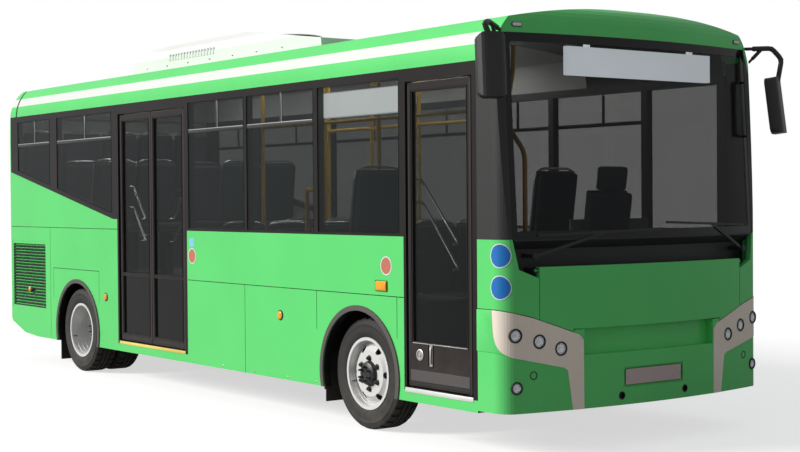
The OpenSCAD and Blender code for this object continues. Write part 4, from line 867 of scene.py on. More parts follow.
class CITYBUS_OT_wheel_fittings(bpy.types.Operator):
    """Makes the wheel nuts, hub caps, valves and rim rings, with nuts and caps near-black as painted shade,
    and dark cups of painted shade in the hand holes
    """
    bl_idname = "citybus.wheel_fittings"
    bl_label = "Wheel fittings"

    def execute(self, context):
        nut = context.scene.citybus_sizes.nut
        for name in WHEELS:
            end = name.split("_")[0]
            body = WHEEL_BODY[name]
            place = wheel_axes(name)[0]
            r, top, foot = HUB_R[end], HUB_TOP[end], NUT_FACE[end]
            nuts, bolts = [], []
            for i in range(6):
                spoke = about(place, 60 * i + 30)
                nuts.append(placed(wheel_nut(nut), spoke @ Matrix.Translation((NUT_CIRCLE, 0, foot))))
                bolt = Matrix.Translation((r * 0.62, 0, top + 0.004))
                bolts.append(placed(wheel_nut(HUB_BOLT), spoke @ bolt))
            # The wheel nuts are near-black as painted shade.
            show("wheel_nuts_" + name, nuts + bolts, extra("hub_painted_shade"), body)
            shell = [(r + 0.011, foot), (r + 0.009, foot + 0.005), (r + 0.005, foot + 0.008),
                     (r, top - 0.012), (r * 0.76, top - 0.002), (r * 0.54, top), (r * 0.48, top - 0.0015),
                     (0.0, top)]
            cap = placed(turned(shell, 40), place)
            stem = rounded([(0.214, 0, 0.060), (0.214, 0, 0.085), (0.205, 0, 0.100)], 0.012)
            valve = placed(swept(stem, 0.005, 8), about(place, VALVE_TURN))
            rings = [[(0.2405, z), (0.2345, z - 0.004), (0.2345, z - 0.012), (0.2405, z - 0.016)]
                     for z in RIM_RINGS[end]]
            show("rim_rings_" + name, [placed(turned(ring, 64, closed=True), place) for ring in rings],
                 extra("wheel_silver_paint"), body)
            if end == "front":
                # Painted shade: dark cups in the hand holes.
                holes = [placed(hole_shade(), about(place, 60 * i)) for i in range(6)]
                show("hand_hole_painted_shades_" + name, holes, extra("seal_rubber"), body)
            # The hub cap is near-black: the cap's own dark colour with painted shade of its recess.
            show("hub_cap_" + name, [cap, valve], extra("hub_painted_shade"), body)
        return {"FINISHED"}


# Lamps of the front

LAMP_SPOTS = ((1.128, 0.789), (0.957, 0.745), (0.795, 0.692))
FOG_SPOT = (1.120, 0.454)
LAMP_R = 0.047
FOG_R = 0.042


class CITYBUS_OT_front_lamps(bpy.types.Operator):
    """Makes the head lamps and fog lamps with rings, bowls and lenses"""
    bl_idname = "citybus.front_lamps"
    bl_label = "Front lamps"

    def execute(self, context):
        rings, bowls, lenses = [], [], []
        spots = [(y, z, LAMP_R) for y, z in LAMP_SPOTS] + [(*FOG_SPOT, FOG_R)]
        for y, z, r in spots:
            for side in (-1, 1):
                place = on_nose(side * y, z)
                ring = [(r - 0.001, -0.012), (r - 0.001, 0.005), (r - 0.004, 0.0085), (r - 0.009, 0.0075),
                        (r - 0.011, 0.002), (r - 0.012, -0.010)]
                bowl = [(r - 0.0115, -0.002), (r - 0.016, -0.012), (r * 0.48, -0.0165), (r * 0.26, -0.0180),
                        (r * 0.24, -0.008), (r * 0.16, -0.004), (0.0, -0.003)]
                lens = [(r - 0.0115, 0.0020), (r * 0.62, 0.0050), (r * 0.30, 0.0066), (0.0, 0.0070),
                        (0.0, 0.0055), (r - 0.0115, 0.0010)]
                rings.append(placed(turned(ring, 36, closed=True), place))
                bowls.append(placed(turned(bowl, 36), place))
                lenses.append(placed(turned(lens, 36, closed=True), place))
        show("lamp_rings", rings, extra("seal_rubber"), replaces=("head_lamps",))
        show("lamp_bowls", bowls, extra("chrome"))
        show("lamp_lenses", lenses, extra("lens_clear"))
        return {"FINISHED"}


# Side windows

# Rear and front X of each opening
WINDOWS = [(-3.850, -3.030), (-2.850, -1.610), (-0.116, 0.814), (0.861, 1.834), (1.895, 2.913)]
LEFT_ONLY = [(-1.440, -0.170), (2.975, 3.690)]
VENTED = {-1: WINDOWS[:4], 1: WINDOWS + LEFT_ONLY[:1]}
PANE_FOOT = 1.425
PANE_TOP = 2.495
VENT_Z = 2.250
CLIMB_X = -1.588
CLIMB_FOOT = 1.546
CLIMB = 0.196


def pane_foot(x):
    """Lower edge of the window openings, which climbs towards the rear."""
    return PANE_FOOT if x > CLIMB_X else CLIMB_FOOT + max(0.0, CLIMB_X - x) * CLIMB


def pane_outline(side, x0, x1):
    """Outline of an opening, as seen from outside."""
    points = [(x0, pane_foot(x0)), (x1, pane_foot(x1)), (x1, PANE_TOP), (x0, PANE_TOP)]
    if side > 0:
        points = [(-x, z) for x, z in reversed(points)]
    return points


class CITYBUS_OT_side_windows(bpy.types.Operator):
    """Makes the seals, vent bars and sliding panes' edges of the side windows"""
    bl_idname = "citybus.side_windows"
    bl_label = "Side windows"

    def execute(self, context):
        sizes = context.scene.citybus_sizes
        seals, bars, edges = [], [], []
        foot, top = VENT_Z - sizes.vent_bar / 2, VENT_Z + sizes.vent_bar / 2
        for side, windows in ((-1, WINDOWS), (1, WINDOWS + LEFT_ONLY)):
            face = facing((0, side * (PANE - 0.001), 0), (0, side, 0))
            for x0, x1 in windows:
                seals.append(placed(band(pane_outline(side, x0, x1), sizes.seal, 0.006, 0.002), face))
            for x0, x1 in VENTED[side]:
                middle = (x0 + x1) / 2 + 0.03
                y0, y1 = sorted((side * (PANE - 0.006), side * (PANE + 0.004)))
                bars.append(slab((x0 + 0.004, y0, foot), (x1 - 0.004, y1, top), 0.003))
                bars.append(slab((middle - 0.011, y0, top), (middle + 0.011, y1 - side * 0.001, PANE_TOP),
                                 0.002))
                outer = side * (PANE + 0.0045)
                y0, y1 = sorted((outer, outer - side * 0.004))
                edges.append(slab((x0 + 0.014, y0, top - 0.004), (x1 - 0.014, y1, top + 0.002), 0.001, 1))
                edges.append(slab((middle + 0.011, y0, top), (middle + 0.016, y1, PANE_TOP - 0.012),
                                  0.001, 1))
        show("window_seals", seals, extra("seal_rubber"))
        show("vent_bars", bars, extra("bar_black"))
        show("vent_edges", edges, extra("aluminium"))
        return {"FINISHED"}


# Doors

LEAVES = (("front_door_body", "front_door"), ("mid_front_body", "mid_door_front"),
          ("mid_rear_body", "mid_door_rear"))
MID_PANES = ((0.450, 0.974), (1.006, 2.395))
PANE_Z = {"front_door": ((0.690, 2.395),), "mid_door_front": MID_PANES, "mid_door_rear": MID_PANES}
LEAF_FRAME = 0.050
BEAD_LAP = 0.010
LOCK_SPOT = (3.128, 0.601)
HANDLE_SPOT = (3.251, 0.605)
# Both ends of each grab rail: X from the leaf's rear edge, and the height
GRABS = {"front_door": (((0.036, 1.80), (0.45, 1.36)), ((0.056, 1.64), (0.45, 1.19))),
         "mid_door_rear": (((0.095, 1.794), (0.34, 1.50)), ((0.095, 1.604), (0.34, 1.30))),
         "mid_door_front": (((0.27, 1.50), (0.519, 1.799)), ((0.27, 1.30), (0.519, 1.609)))}


class CITYBUS_OT_doors(bpy.types.Operator):
    """Makes the pane beads, edge rubbers, grab rails and locks of the door leaves"""
    bl_idname = "citybus.doors"
    bl_label = "Door fittings"

    def execute(self, context):
        for body, leaf in LEAVES:
            low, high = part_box(leaf)
            foot, top = low.z + 0.023, high.z - 0.028
            outer = facing((0, low.y, 0), OUT_RIGHT)
            inner = facing((0, high.y - 0.0005, 0), OUT_LEFT)
            x0, x1 = low.x + LEAF_FRAME - BEAD_LAP, high.x - LEAF_FRAME + BEAD_LAP
            beads = []
            for z0, z1 in PANE_Z[leaf]:
                for a, b, face in ((x0, x1, outer), (-x1, -x0, inner)):
                    outline = oblong(a, z0 - BEAD_LAP, b, z1 + BEAD_LAP)
                    beads.append(placed(band(outline, 0.018, 0.004, 0.0015), face))
            beads.append(slab((low.x + 0.020, low.y - 0.002, foot + 0.012),
                              (high.x - 0.020, low.y + 0.002, foot + 0.030), 0.0015, 1))
            show(leaf + "_beads", beads, extra("seal_rubber"), body)
            wall, bar = high.y + 0.001, high.y + 0.048
            rails = []
            for (ax, az), (bx, bz) in GRABS[leaf]:
                a, b = low.x + ax, low.x + bx
                path = [(a, wall, az), (a, bar, az), (b, bar, bz), (b, wall, bz)]
                rails.append(swept(rounded(path, 0.035), 0.010, 10))
            show(leaf + "_grab_rails", rails, extra("seat_tube"), body)
            strips = [slab((x, low.y - 0.001, foot + 0.04), (x + 0.012, low.y + 0.003, top - 0.02), 0.001, 1)
                      for x in (low.x + 0.004, high.x - 0.016)]
            show(leaf + "_edge_strips", strips, extra("bar_black"), body)
        low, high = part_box("front_door")
        face = low.y
        trim = slab((low.x + 0.046, face - 0.0045, 0.678), (high.x - 0.046, face + 0.001, 0.684), 0.001, 1)
        show("front_door_pane_trim", [trim], extra("aluminium"), "front_door_body")
        kick = slab((low.x + 0.022, face - 0.0035, low.z + 0.058),
                    (high.x - 0.022, face + 0.001, low.z + 0.135), 0.002, 1)
        show("front_door_kick_strip", [kick], extra("kick_grey"), "front_door_body")
        lock = turned([(0.040, 0.0), (0.040, 0.004), (0.034, 0.007), (0.027, 0.006), (0.026, 0.002),
                       (0.012, 0.002), (0.011, 0.006), (0.0, 0.007)], 36)
        grip = band(soft_rect(0.044, 0.160, 0.010), 0.007, 0.007, 0.002)
        slot_plate = plate(soft_rect(0.034, 0.148, 0.006), 0.002)
        lever = slab((-0.008, -0.055, 0.003), (0.008, 0.055, 0.011), 0.003)
        ring, handle = [facing((x, face, z), OUT_RIGHT) for x, z in (LOCK_SPOT, HANDLE_SPOT)]
        parts = [placed(lock, ring)] + [placed(part, handle) for part in (grip, slot_plate, lever)]
        show("front_door_lock", parts, extra("nut_steel"), "front_door_body")
        return {"FINISHED"}


# Stickers, plate, strips and side lamps

def disc(radius, inner=0.0, thick=0.0008):
    """A thin round sticker, or a ring, about Z."""
    if inner:
        return turned([(inner, 0.0), (radius, 0.0), (radius, thick), (inner, thick)], 48, closed=True)
    return turned([(0.0, 0.0), (radius, 0.0), (radius, thick), (radius * 0.66, thick), (radius * 0.33, thick),
                   (0.0, thick)], 48)


def round_front(part, side, step=0.014):
    """Bends a flat part round the front: X runs along the plan from the centre line, Y up and Z out."""
    u = CORNER_U - 0.1
    while u < SIDE_U + step:
        geom = list(part.verts) + list(part.edges) + list(part.faces)
        bmesh.ops.bisect_plane(part, geom=geom, dist=1e-6, plane_co=(u, 0, 0), plane_no=(1, 0, 0))
        u += step
    for vert in part.verts:
        u, z, proud = vert.co
        turn = min(u / BOW_R, CORNER_A)
        x = NOSE - BOW_R + (BOW_R + proud) * math.cos(turn)
        y = (BOW_R + proud) * math.sin(turn)
        if u > CORNER_U:
            turn = min(CORNER_A + (u - CORNER_U) / CORNER_R, math.pi / 2)
            x = CORNER_X + (CORNER_R + proud) * math.cos(turn) - max(0.0, u - SIDE_U)
            y = CORNER_Y + (CORNER_R + proud) * math.sin(turn)
        vert.co = (min(x, bow_x(y, z) + proud), side * y, z)
    bmesh.ops.recalc_face_normals(part, faces=part.faces)
    return part


BEZEL_END = [(1.2000, 0.6643), (1.2300, 0.6727), (1.2600, 0.6780), (1.2923, 0.6800), (1.4560, 0.6800),
             (1.4560, 0.9490), (1.3050, 0.9490), (1.3020, 0.8800), (1.2970, 0.8200), (1.2890, 0.7750),
             (1.2760, 0.7400), (1.2560, 0.7080), (1.2320, 0.6860), (1.2120, 0.6740)]
ROUND_SIGNS = (1.298, 1.095)
SIGN_R = 0.078
SIGN_U = 1.238
RED_SIGNS = ((-0.064, 1.192), (2.755, 1.197))
LABEL_SPOT = (-0.066, 1.308)


class CITYBUS_OT_stickers(bpy.types.Operator):
    """Makes the blank round stickers, the blank label and the painted covers of the bezels' ends"""
    bl_idname = "citybus.stickers"
    bl_label = "Blank stickers"

    def execute(self, context):
        blues, whites, reds = [], [], []
        for z in ROUND_SIGNS:
            spot = Matrix.Translation((SIGN_U, z, 0))
            blues.append(round_front(placed(disc(SIGN_R * 0.92, thick=0.0018), spot), -1))
            whites.append(round_front(placed(disc(SIGN_R, SIGN_R * 0.90, 0.0016), spot), -1))
        for x, z in RED_SIGNS:
            whites.append(placed(disc(0.066, 0.058), on_side(-1, x, z)))
            reds.append(placed(disc(0.0585, thick=0.0010), on_side(-1, x, z)))
        show("sign_discs_blue", blues, extra("sticker_blue"))
        show("sign_rings_white", whites, extra("sticker_white"))
        show("sign_discs_red", reds, extra("sticker_red"))
        label = placed(plate(soft_rect(0.080, 0.070, 0.006), 0.0008), on_side(-1, *LABEL_SPOT))
        lift = Matrix.Translation((0, 0, 0.003))
        covers = [round_front(placed(plate(BEZEL_END, 0.0012, 0.0005), lift), side) for side in (-1, 1)]
        show("bezel_end_covers", covers, extra("body_paint_panels"))
        show("label_pale_blue", [label], extra("sticker_pale_blue"))
        return {"FINISHED"}


PLATE_X = 4.1455
PLATE_Z = 0.472
SOCKETS = ((-0.300, 0.353), (0.300, 0.353), (-1.000, 0.530), (1.000, 0.530))
WIPER_CAP = (0.985, 1.292)
CAP_LAMP = (1.04, 2.775)
MIRROR_X = 4.085
MIRROR_Y = 1.345
# Side, then the heights of the mirror's middle and of its arm's foot, elbow and bend
ARMS = ((-1, 2.493, 2.715, 2.770, 2.745), (1, 2.322, 2.730, 2.741, 2.660))
POLE_Y = -0.95
POLE = ((3.83, 2.66), (3.82, 2.48), (3.775, 2.32), (3.785, 2.12), (3.935, 1.96), (3.935, 0.365))


def mirror_arm(side, head, foot, elbow, bend):
    """The sleeve of a mirror's arm and that of its stay."""
    root, knee = Vector((3.910, 1.080, foot)), Vector((4.045, MIRROR_Y, elbow))
    path = [root.lerp(knee, 0.51), knee, (MIRROR_X, 1.405, bend), (MIRROR_X, 1.362, head + 0.180)]
    joint = root.lerp(knee, 0.75)
    stay = Vector((3.925, 1.150, foot - 0.150)).lerp(joint, 0.52)
    parts = [swept(rounded(path, 0.034, 6), 0.0185, 12), swept([stay, joint], 0.0135, 10)]
    for part in parts:
        placed(part, Matrix.Diagonal((1, side, 1, 1)))
        bmesh.ops.recalc_face_normals(part, faces=part.faces)
    return parts


class CITYBUS_OT_front_fittings(bpy.types.Operator):
    """Makes the blank plate, rims and caps, cap lamps, mirror faces and sleeves, and the front grab pole"""
    bl_idname = "citybus.front_fittings"
    bl_label = "Front fittings"

    def execute(self, context):
        back = facing((PLATE_X, 0, PLATE_Z), (1, 0, 0))
        blank = band(soft_rect(0.536, 0.112, 0.010), 0.006, 0.0065, 0.001)
        sheet = plate(soft_rect(0.526, 0.102, 0.006), 0.0045)
        show("number_plate_blank", [placed(blank, back), placed(sheet, back)], extra("plate_silver"))
        head = [(0.0, 0.0), (0.007, 0.0), (0.007, 0.003), (0.004, 0.0045), (0.0, 0.0045)]
        screws = [placed(turned(head, 16), facing((PLATE_X + 0.0045, y, PLATE_Z), (1, 0, 0)))
                  for y in (-0.245, 0.245)]
        rim = [(0.027, -0.004), (0.027, 0.002), (0.024, 0.003), (0.021, 0.001), (0.021, -0.018),
               (0.0, -0.018)]
        rims = [placed(turned(rim, 28), on_nose(y, z)) for y, z in SOCKETS]
        cap = [(0.024, 0.0), (0.024, 0.010), (0.018, 0.016), (0.0, 0.018)]
        caps = [placed(turned(cap, 24), on_nose(side * WIPER_CAP[0], WIPER_CAP[1], 0.006))
                for side in (-1, 1)]
        show("plate_screws", screws, extra("nut_steel"))
        show("socket_rims", rims + caps, extra("seal_rubber"))
        lamps, bases = [], []
        for side in (-1, 1):
            place = on_nose(side * CAP_LAMP[0], CAP_LAMP[1], 0.001)
            bases.append(placed(plate(soft_rect(0.078, 0.030, 0.013), 0.004, 0.0015), place))
            lamps.append(placed(plate(soft_rect(0.066, 0.022, 0.010), 0.010, 0.004), place))
        show("cap_lamp_bases", bases, extra("bar_black"))
        show("cap_lamp_lenses", lamps, extra("step_pale"))
        glasses, sleeves = [], []
        for side, head, foot, elbow, bend in ARMS:
            middle = about(Matrix.Translation((MIRROR_X, side * MIRROR_Y, head)), 25 * side)
            tilt = Matrix.Rotation(math.radians(-7), 4, "Y")
            place = middle @ tilt @ facing((-0.0385, 0, 0), OUT_REAR)
            glasses.append(placed(plate(soft_rect(0.166, 0.381, 0.040), 0.003, 0.001), place))
            sleeves += mirror_arm(side, head, foot, elbow, bend)
        show("mirror_arm_sleeves", sleeves, extra("mirror_moulding"))
        show("mirror_faces", glasses, extra("mirror_face"))
        pole = swept(rounded([(x, POLE_Y, z) for x, z in POLE], 0.06), 0.016, 12)
        base = turned([(0.0, 0.0), (0.036, 0.0), (0.036, 0.004), (0.022, 0.010), (0.0, 0.010)], 24)
        x, z = POLE[-1]
        show("front_grab_pole", [pole, placed(base, Matrix.Translation((x, POLE_Y, z - 0.004)))],
             extra("pole_bronze"))
        return {"FINISHED"}


MARKERS = ((-1.757, 0.760), (1.352, 0.771))
REPEATER = (2.700, 1.055)
GRILLE_KNOB = (-3.547, 0.756)
GRILLE_SLOTS = 21
GRILLE_PITCH = 0.031
SKIRT_Z = 0.300
SKIRT_SCREWS = (-3.9, -3.2, -0.05, 0.45, 0.95, 1.45, 1.85)
FLAP_BEHIND = 0.530
FLAP_Y = (0.850, 1.145)
FLAP_Z = (0.150, 0.520)


class CITYBUS_OT_side_fittings(bpy.types.Operator):
    """Makes the step strips, marker lamps, painted shade strips in the grille's gaps, mud flaps, sign face
    glowing as painted light, and screws of the sides
    """
    bl_idname = "citybus.side_fittings"
    bl_label = "Side fittings"

    def execute(self, context):
        wall = -SIDE
        show("mid_step_strip", [slab((-1.468, wall - 0.004, 0.344), (-0.192, wall + 0.006, 0.370), 0.003)],
             extra("step_yellow"))
        show("front_step_strip", [slab((2.975, wall - 0.004, 0.338), (3.716, wall + 0.006, 0.370), 0.003)],
             extra("step_pale"))
        base = [(0.031, 0.0), (0.040, 0.0), (0.040, 0.004), (0.036, 0.007), (0.0325, 0.007)]
        dome = [(0.0315, 0.008), (0.026, 0.0115), (0.014, 0.0135), (0.0, 0.0140)]
        grip = [(0.026, 0.010), (0.026, 0.018), (0.018, 0.024), (0.0, 0.026)]
        bases, knobs = [], []
        for side in (-1, 1):
            for x, z in MARKERS:
                bases.append(placed(turned(base, 32), on_side(side, x, z)))
                knobs.append(placed(turned(dome, 32), on_side(side, x, z)))
            mark = on_side(side, *REPEATER)
            bases.append(placed(band(soft_rect(0.142, 0.078, 0.010), 0.008, 0.006, 0.002), mark))
            knobs.append(placed(plate(soft_rect(0.120, 0.056, 0.008), 0.013, 0.004), mark))
            knob = on_side(side, *GRILLE_KNOB, -0.004)
            bases.append(placed(plate(soft_rect(0.110, 0.040, 0.018), 0.012, 0.004), knob))
            knobs.append(placed(turned(grip, 24), knob))
        show("marker_bases", bases, extra("seal_rubber"))
        show("marker_domes", knobs, extra("amber_lens"))
        head = [(0.0, 0.0), (0.008, 0.0), (0.008, 0.0015), (0.005, 0.003), (0.0, 0.0032)]
        screws = [placed(turned(head, 14), on_side(side, x, SKIRT_Z))
                  for side in (-1, 1) for x in SKIRT_SCREWS]
        # Near-black strips in the grille's gaps are painted shade.
        low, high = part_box("engine_grilles")
        gaps = []
        for side in (-1, 1):
            y0, y1 = sorted((side * (high.y - 0.0150), side * (high.y - 0.0005)))
            for i in range(GRILLE_SLOTS):
                z = low.z + 0.0265 + i * GRILLE_PITCH
                gaps.append(slab((low.x + 0.024, y0, z), (high.x - 0.024, y1, z + 0.012), 0.001, 1))
        show("grille_painted_shade_strips", gaps, extra("seal_rubber"))
        back = (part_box("tyre_front_right")[0].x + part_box("tyre_front_right")[1].x) / 2 - FLAP_BEHIND
        flaps = []
        for side in (-1, 1):
            y0, y1 = sorted(side * y for y in FLAP_Y)
            flaps.append(slab((back, y0, FLAP_Z[0]), (back + 0.009, y1, FLAP_Z[1]), 0.003))
        show("front_mud_flaps", flaps, extra("tyre_rubber"))
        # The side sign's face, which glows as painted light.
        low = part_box("sign_boards")[0]
        board = plate(soft_rect(1.000, 0.176, 0.006), 0.002, 0.0008)
        show("side_sign_face", [placed(board, facing((low.x + 0.512, low.y, 2.362), OUT_RIGHT))],
             extra("sign_face_painted_glow"))
        show("skirt_screws", screws, extra("nut_steel"))
        return {"FINISHED"}


# Seats

SEAT_W = 0.435
SEAT_GAP = 0.010
# X of the cushion's back edge, Y of the middle, floor, rise to the cushion, and seats abreast
UNITS = ([(x, -0.705, 0.360, 0.420, 2) for x in (1.010, 0.310)]
         + [(x, 0.705, 0.360, 0.420, 2) for x in (1.100, 0.400, -0.300, -1.000)]
         + [(2.200, side * 0.880, 0.955, 0.250, 1) for side in (-1, 1)]
         + [(x, side * 0.705, 0.950, 0.420, 2) for x in (-2.150, -2.900) for side in (-1, 1)]
         + [(-3.960, 0.0, 1.300, 0.420, 5)])


def seats():
    """Place of every single seat, at the back edge of its cushion's underside."""
    for x, y, floor, rise, abreast in UNITS:
        for i in range(abreast):
            yield Vector((x, y + (i - (abreast - 1) / 2) * (SEAT_W + SEAT_GAP), floor + rise)), floor


PAD_VOXEL = 0.011
PAD_PRESSURE = 4.0
PAD_FRAMES = 20
STITCH_HALF = 0.007


def swollen_pad(size, stitches, rise):
    """A seat pad swollen by cloth pressure, held at its underside and along its stitches."""
    block = slab([-s / 2 for s in size], [s / 2 for s in size], min(size) * 0.32, 3)
    mesh = bpy.data.meshes.new("pad_block")
    block.to_mesh(mesh)
    block.free()
    blank = bpy.data.objects.new("pad_block", mesh)
    bpy.context.scene.collection.objects.link(blank)
    remesh = blank.modifiers.new("even", "REMESH")
    remesh.mode = "VOXEL"
    remesh.voxel_size = PAD_VOXEL
    graph = bpy.context.evaluated_depsgraph_get()
    even = bpy.data.meshes.new_from_object(blank.evaluated_get(graph))
    blank.modifiers.clear()
    blank.data = even
    held = blank.vertex_groups.new(name="held")
    for vert in even.vertices:
        low = vert.co.z < -size[2] * 0.2
        sewn = vert.co.z > 0 and any(abs(vert.co[axis] - at) < STITCH_HALF for axis, at in stitches)
        if low or sewn:
            held.add([vert.index], 1.0, "REPLACE")
    before = [vert.co.copy() for vert in even.vertices]
    cloth = blank.modifiers.new("cloth", "CLOTH")
    cloth.settings.use_pressure = True
    cloth.settings.uniform_pressure_force = PAD_PRESSURE
    cloth.settings.effector_weights.gravity = 0.0
    cloth.settings.vertex_group_mass = held.name
    cloth.point_cache.frame_end = PAD_FRAMES
    for number in range(1, PAD_FRAMES + 1):
        bpy.context.scene.frame_set(number)
    graph = bpy.context.evaluated_depsgraph_get()
    after = blank.evaluated_get(graph).data
    moves = [after.vertices[i].co - at for i, at in enumerate(before)]
    blank.modifiers.clear()
    bpy.context.scene.frame_set(1)
    for vert, at, move in zip(even.vertices, before, moves):
        vert.co = at + move * min(1.0, rise / max(move.length, 1e-9))
    part = bmesh.new()
    part.from_mesh(blank.data)
    bmesh.ops.smooth_vert(part, verts=part.verts, factor=0.5, use_axis_x=True, use_axis_y=True,
                          use_axis_z=True)
    bpy.data.objects.remove(blank)
    return part


DRIVER_SEAT = Vector((2.992, 0.640, 0.600))
BACK_LEAN = Matrix.Rotation(math.radians(-81.5), 4, "Y")


class CITYBUS_OT_seats(bpy.types.Operator):
    """Makes the padded passenger seats with their shells, tubes and legs, and the driver's seat"""
    bl_idname = "citybus.seats"
    bl_label = "Seats"

    def execute(self, context):
        rise = context.scene.citybus_sizes.pad_rise
        cushion = swollen_pad((0.43, 0.415, 0.055), ((1, -0.13), (1, 0.13), (0, 0.09)), rise)
        back = swollen_pad((0.58, 0.40, 0.050), ((1, -0.13), (1, 0.13), (0, 0.10)), rise)
        cushions, backs, shells, tubes = [], [], [], []
        for spot, floor in seats():
            move = Matrix.Translation(spot)
            upright = move @ Matrix.Translation((0.0, 0.0, 0.370)) @ BACK_LEAN
            cushions.append(placed(cushion.copy(), move @ Matrix.Translation((0.235, 0, 0.046))))
            backs.append(placed(back.copy(), upright @ Matrix.Translation((0, 0, -0.012))))
            shells.append(placed(slab((-0.30, -0.207, 0.014), (0.305, 0.207, 0.034), 0.009), upright))
            shells.append(placed(slab((0.015, -0.207, -0.012), (0.445, 0.207, 0.018), 0.008), move))
            leg = slab((0.170, -0.05, floor - spot.z + 0.002), (0.270, 0.05, -0.010), 0.006)
            shells.append(placed(leg, move))
            arch = [(x, y, 0.030) for x, y in oblong(-0.33, -0.212, 0.325, 0.212)]
            tubes.append(placed(swept(rounded(arch, 0.11, 7), 0.0105, 10), upright))
        show("seat_shells", shells, extra("seat_shell"), replaces=("passenger_seats",))
        show("seat_tubes", tubes, extra("seat_tube"))
        show("seat_cushions", cushions, extra("seat_cloth"), angle=180)
        show("seat_backs", backs, extra("seat_cloth"), angle=180)
        seat = DRIVER_SEAT
        low = swollen_pad((0.46, 0.445, 0.075), ((1, -0.15), (1, 0.15)), rise)
        high = swollen_pad((0.60, 0.430, 0.070), ((1, -0.15), (1, 0.15), (0, 0.12)), rise)
        upright = Matrix.Translation(seat + Vector((0.055, 0, 0.800))) @ BACK_LEAN
        head = swollen_pad((0.18, 0.28, 0.070), ((1, -0.30),), rise)
        pads = [placed(low, Matrix.Translation(seat + Vector((0.250, 0, 0.470)))), placed(high, upright),
                placed(head, upright @ Matrix.Translation((0.41, 0, 0.0)))]
        show("driver_seat_pads", pads, extra("seat_cloth"), angle=180)
        shell = [placed(slab((-0.31, -0.205, 0.020), (0.315, 0.205, 0.052), 0.012), upright),
                 slab(seat + Vector((0.03, -0.20, 0.385)), seat + Vector((0.45, 0.20, 0.432)), 0.010),
                 slab(seat + Vector((0.10, -0.15, 0.002)), seat + Vector((0.40, 0.15, 0.385)), 0.020)]
        show("driver_seat_shell", shell, extra("seat_shell"), replaces=("driver_seat",))
        return {"FINISHED"}


# Rear, roof and cab

TAIL_LAMP_Y = 1.000
TAIL_LAMP_Z = (0.830, 0.960, 1.090, 1.220)
REAR_PANE_FOOT = 1.790
REAR_PANE_OUT = (-0.64, 0, 0.0708)
CATCH_Y = 0.55
CATCH_Z = 0.545


class CITYBUS_OT_rear_fittings(bpy.types.Operator):
    """Makes the rear lamps' rings and domes, the rear window's seal and the engine door's catches"""
    bl_idname = "citybus.rear_fittings"
    bl_label = "Rear fittings"

    def execute(self, context):
        ring = [(0.0545, -0.004), (0.063, -0.004), (0.063, 0.003), (0.058, 0.006), (0.0545, 0.004)]
        dome = [(0.0535, 0.0005), (0.050, 0.004), (0.034, 0.0075), (0.017, 0.006), (0.0, 0.008)]
        rings, domes = [], []
        for side in (-1, 1):
            for z in TAIL_LAMP_Z:
                place = facing((TAIL, side * TAIL_LAMP_Y, z), OUT_REAR)
                rings.append(placed(turned(ring, 36, closed=True), place))
                domes.append(placed(turned(dome, 36), place))
        seal = band(oblong(-0.856, -0.006, 0.856, 0.650), 0.026, 0.007, 0.002)
        pane = facing((TAIL + 0.0294, 0, REAR_PANE_FOOT), REAR_PANE_OUT)
        show("rear_window_seal", [placed(seal, pane)], extra("seal_rubber"))
        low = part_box("engine_door")[0]
        catch = [(0.0, 0.0), (0.022, 0.0), (0.022, 0.004), (0.012, 0.006), (0.0, 0.005)]
        catches = [placed(turned(catch, 24), facing((low.x, y, CATCH_Z), OUT_REAR))
                   for y in (-CATCH_Y, CATCH_Y)]
        show("tail_lamp_rings", rings, extra("seal_rubber"))
        show("engine_door_catches", catches, extra("nut_steel"), "engine_door_body")
        show("tail_lamp_domes", domes, extra("red_lens"))
        return {"FINISHED"}


FANS_X = (-1.10, -0.35)
GUARD_RINGS = (0.06, 0.10, 0.14, 0.18, 0.22)


class CITYBUS_OT_roof_fittings(bpy.types.Operator):
    """Makes the side vents, fan guards, fan wells and fixing screws of the roof unit"""
    bl_idname = "citybus.roof_fittings"
    bl_label = "Roof fittings"

    def execute(self, context):
        low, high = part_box("roof_unit")
        head = [(0.0, 0.0), (0.012, 0.0), (0.012, 0.003), (0.007, 0.006), (0.0, 0.0062)]
        screws, slats = [], []
        for side in (-1, 1):
            face = side * high.y
            for i in range(7):
                x = low.x + 0.30 + i * (high.x - low.x - 0.9) / 6
                screws.append(placed(turned(head, 14), facing((x, face, low.z + 0.050), (0, side, 0))))
            for i in range(16):
                x = low.x + 0.75 + i * 0.055
                y0, y1 = sorted((face - side * 0.002, face + side * 0.004))
                slats.append(slab((x, y0, low.z + 0.085), (x + 0.030, y1, low.z + 0.150), 0.0018, 1))
        guards, wells = [], []
        for x in FANS_X:
            spot = Matrix.Translation((x, 0.0, high.z - 0.001))
            wires = [[(r - 0.004, 0.006), (r, 0.003), (r + 0.004, 0.006), (r, 0.009)] for r in GUARD_RINGS]
            guards += [placed(turned(wire, 48, closed=True), spot) for wire in wires]
            rim = [(0.244, 0.0), (0.270, 0.0), (0.268, 0.007), (0.250, 0.010)]
            guards.append(placed(turned(rim, 56, closed=True), spot))
            for i in range(4):
                bar = slab((-0.252, -0.005, 0.0), (0.252, 0.005, 0.006), 0.002, 1)
                guards.append(placed(bar, about(spot, 45 * i + 10)))
            well = [(0.0, 0.0), (0.245, 0.0), (0.245, 0.002), (0.05, 0.0025), (0.0, 0.003)]
            wells.append(placed(turned(well, 48), spot))
        show("roof_fan_guards", guards, extra("unit_white"))
        show("roof_fan_wells", wells, extra("seal_rubber"))
        show("roof_unit_screws", screws, extra("nut_steel"))
        show("roof_unit_slats", slats, extra("unit_white"))
        return {"FINISHED"}


CEILING_Y = 0.52
CEILING_START = -3.45
CEILING_PITCH = 1.35
CEILING_LENGTH = 1.05


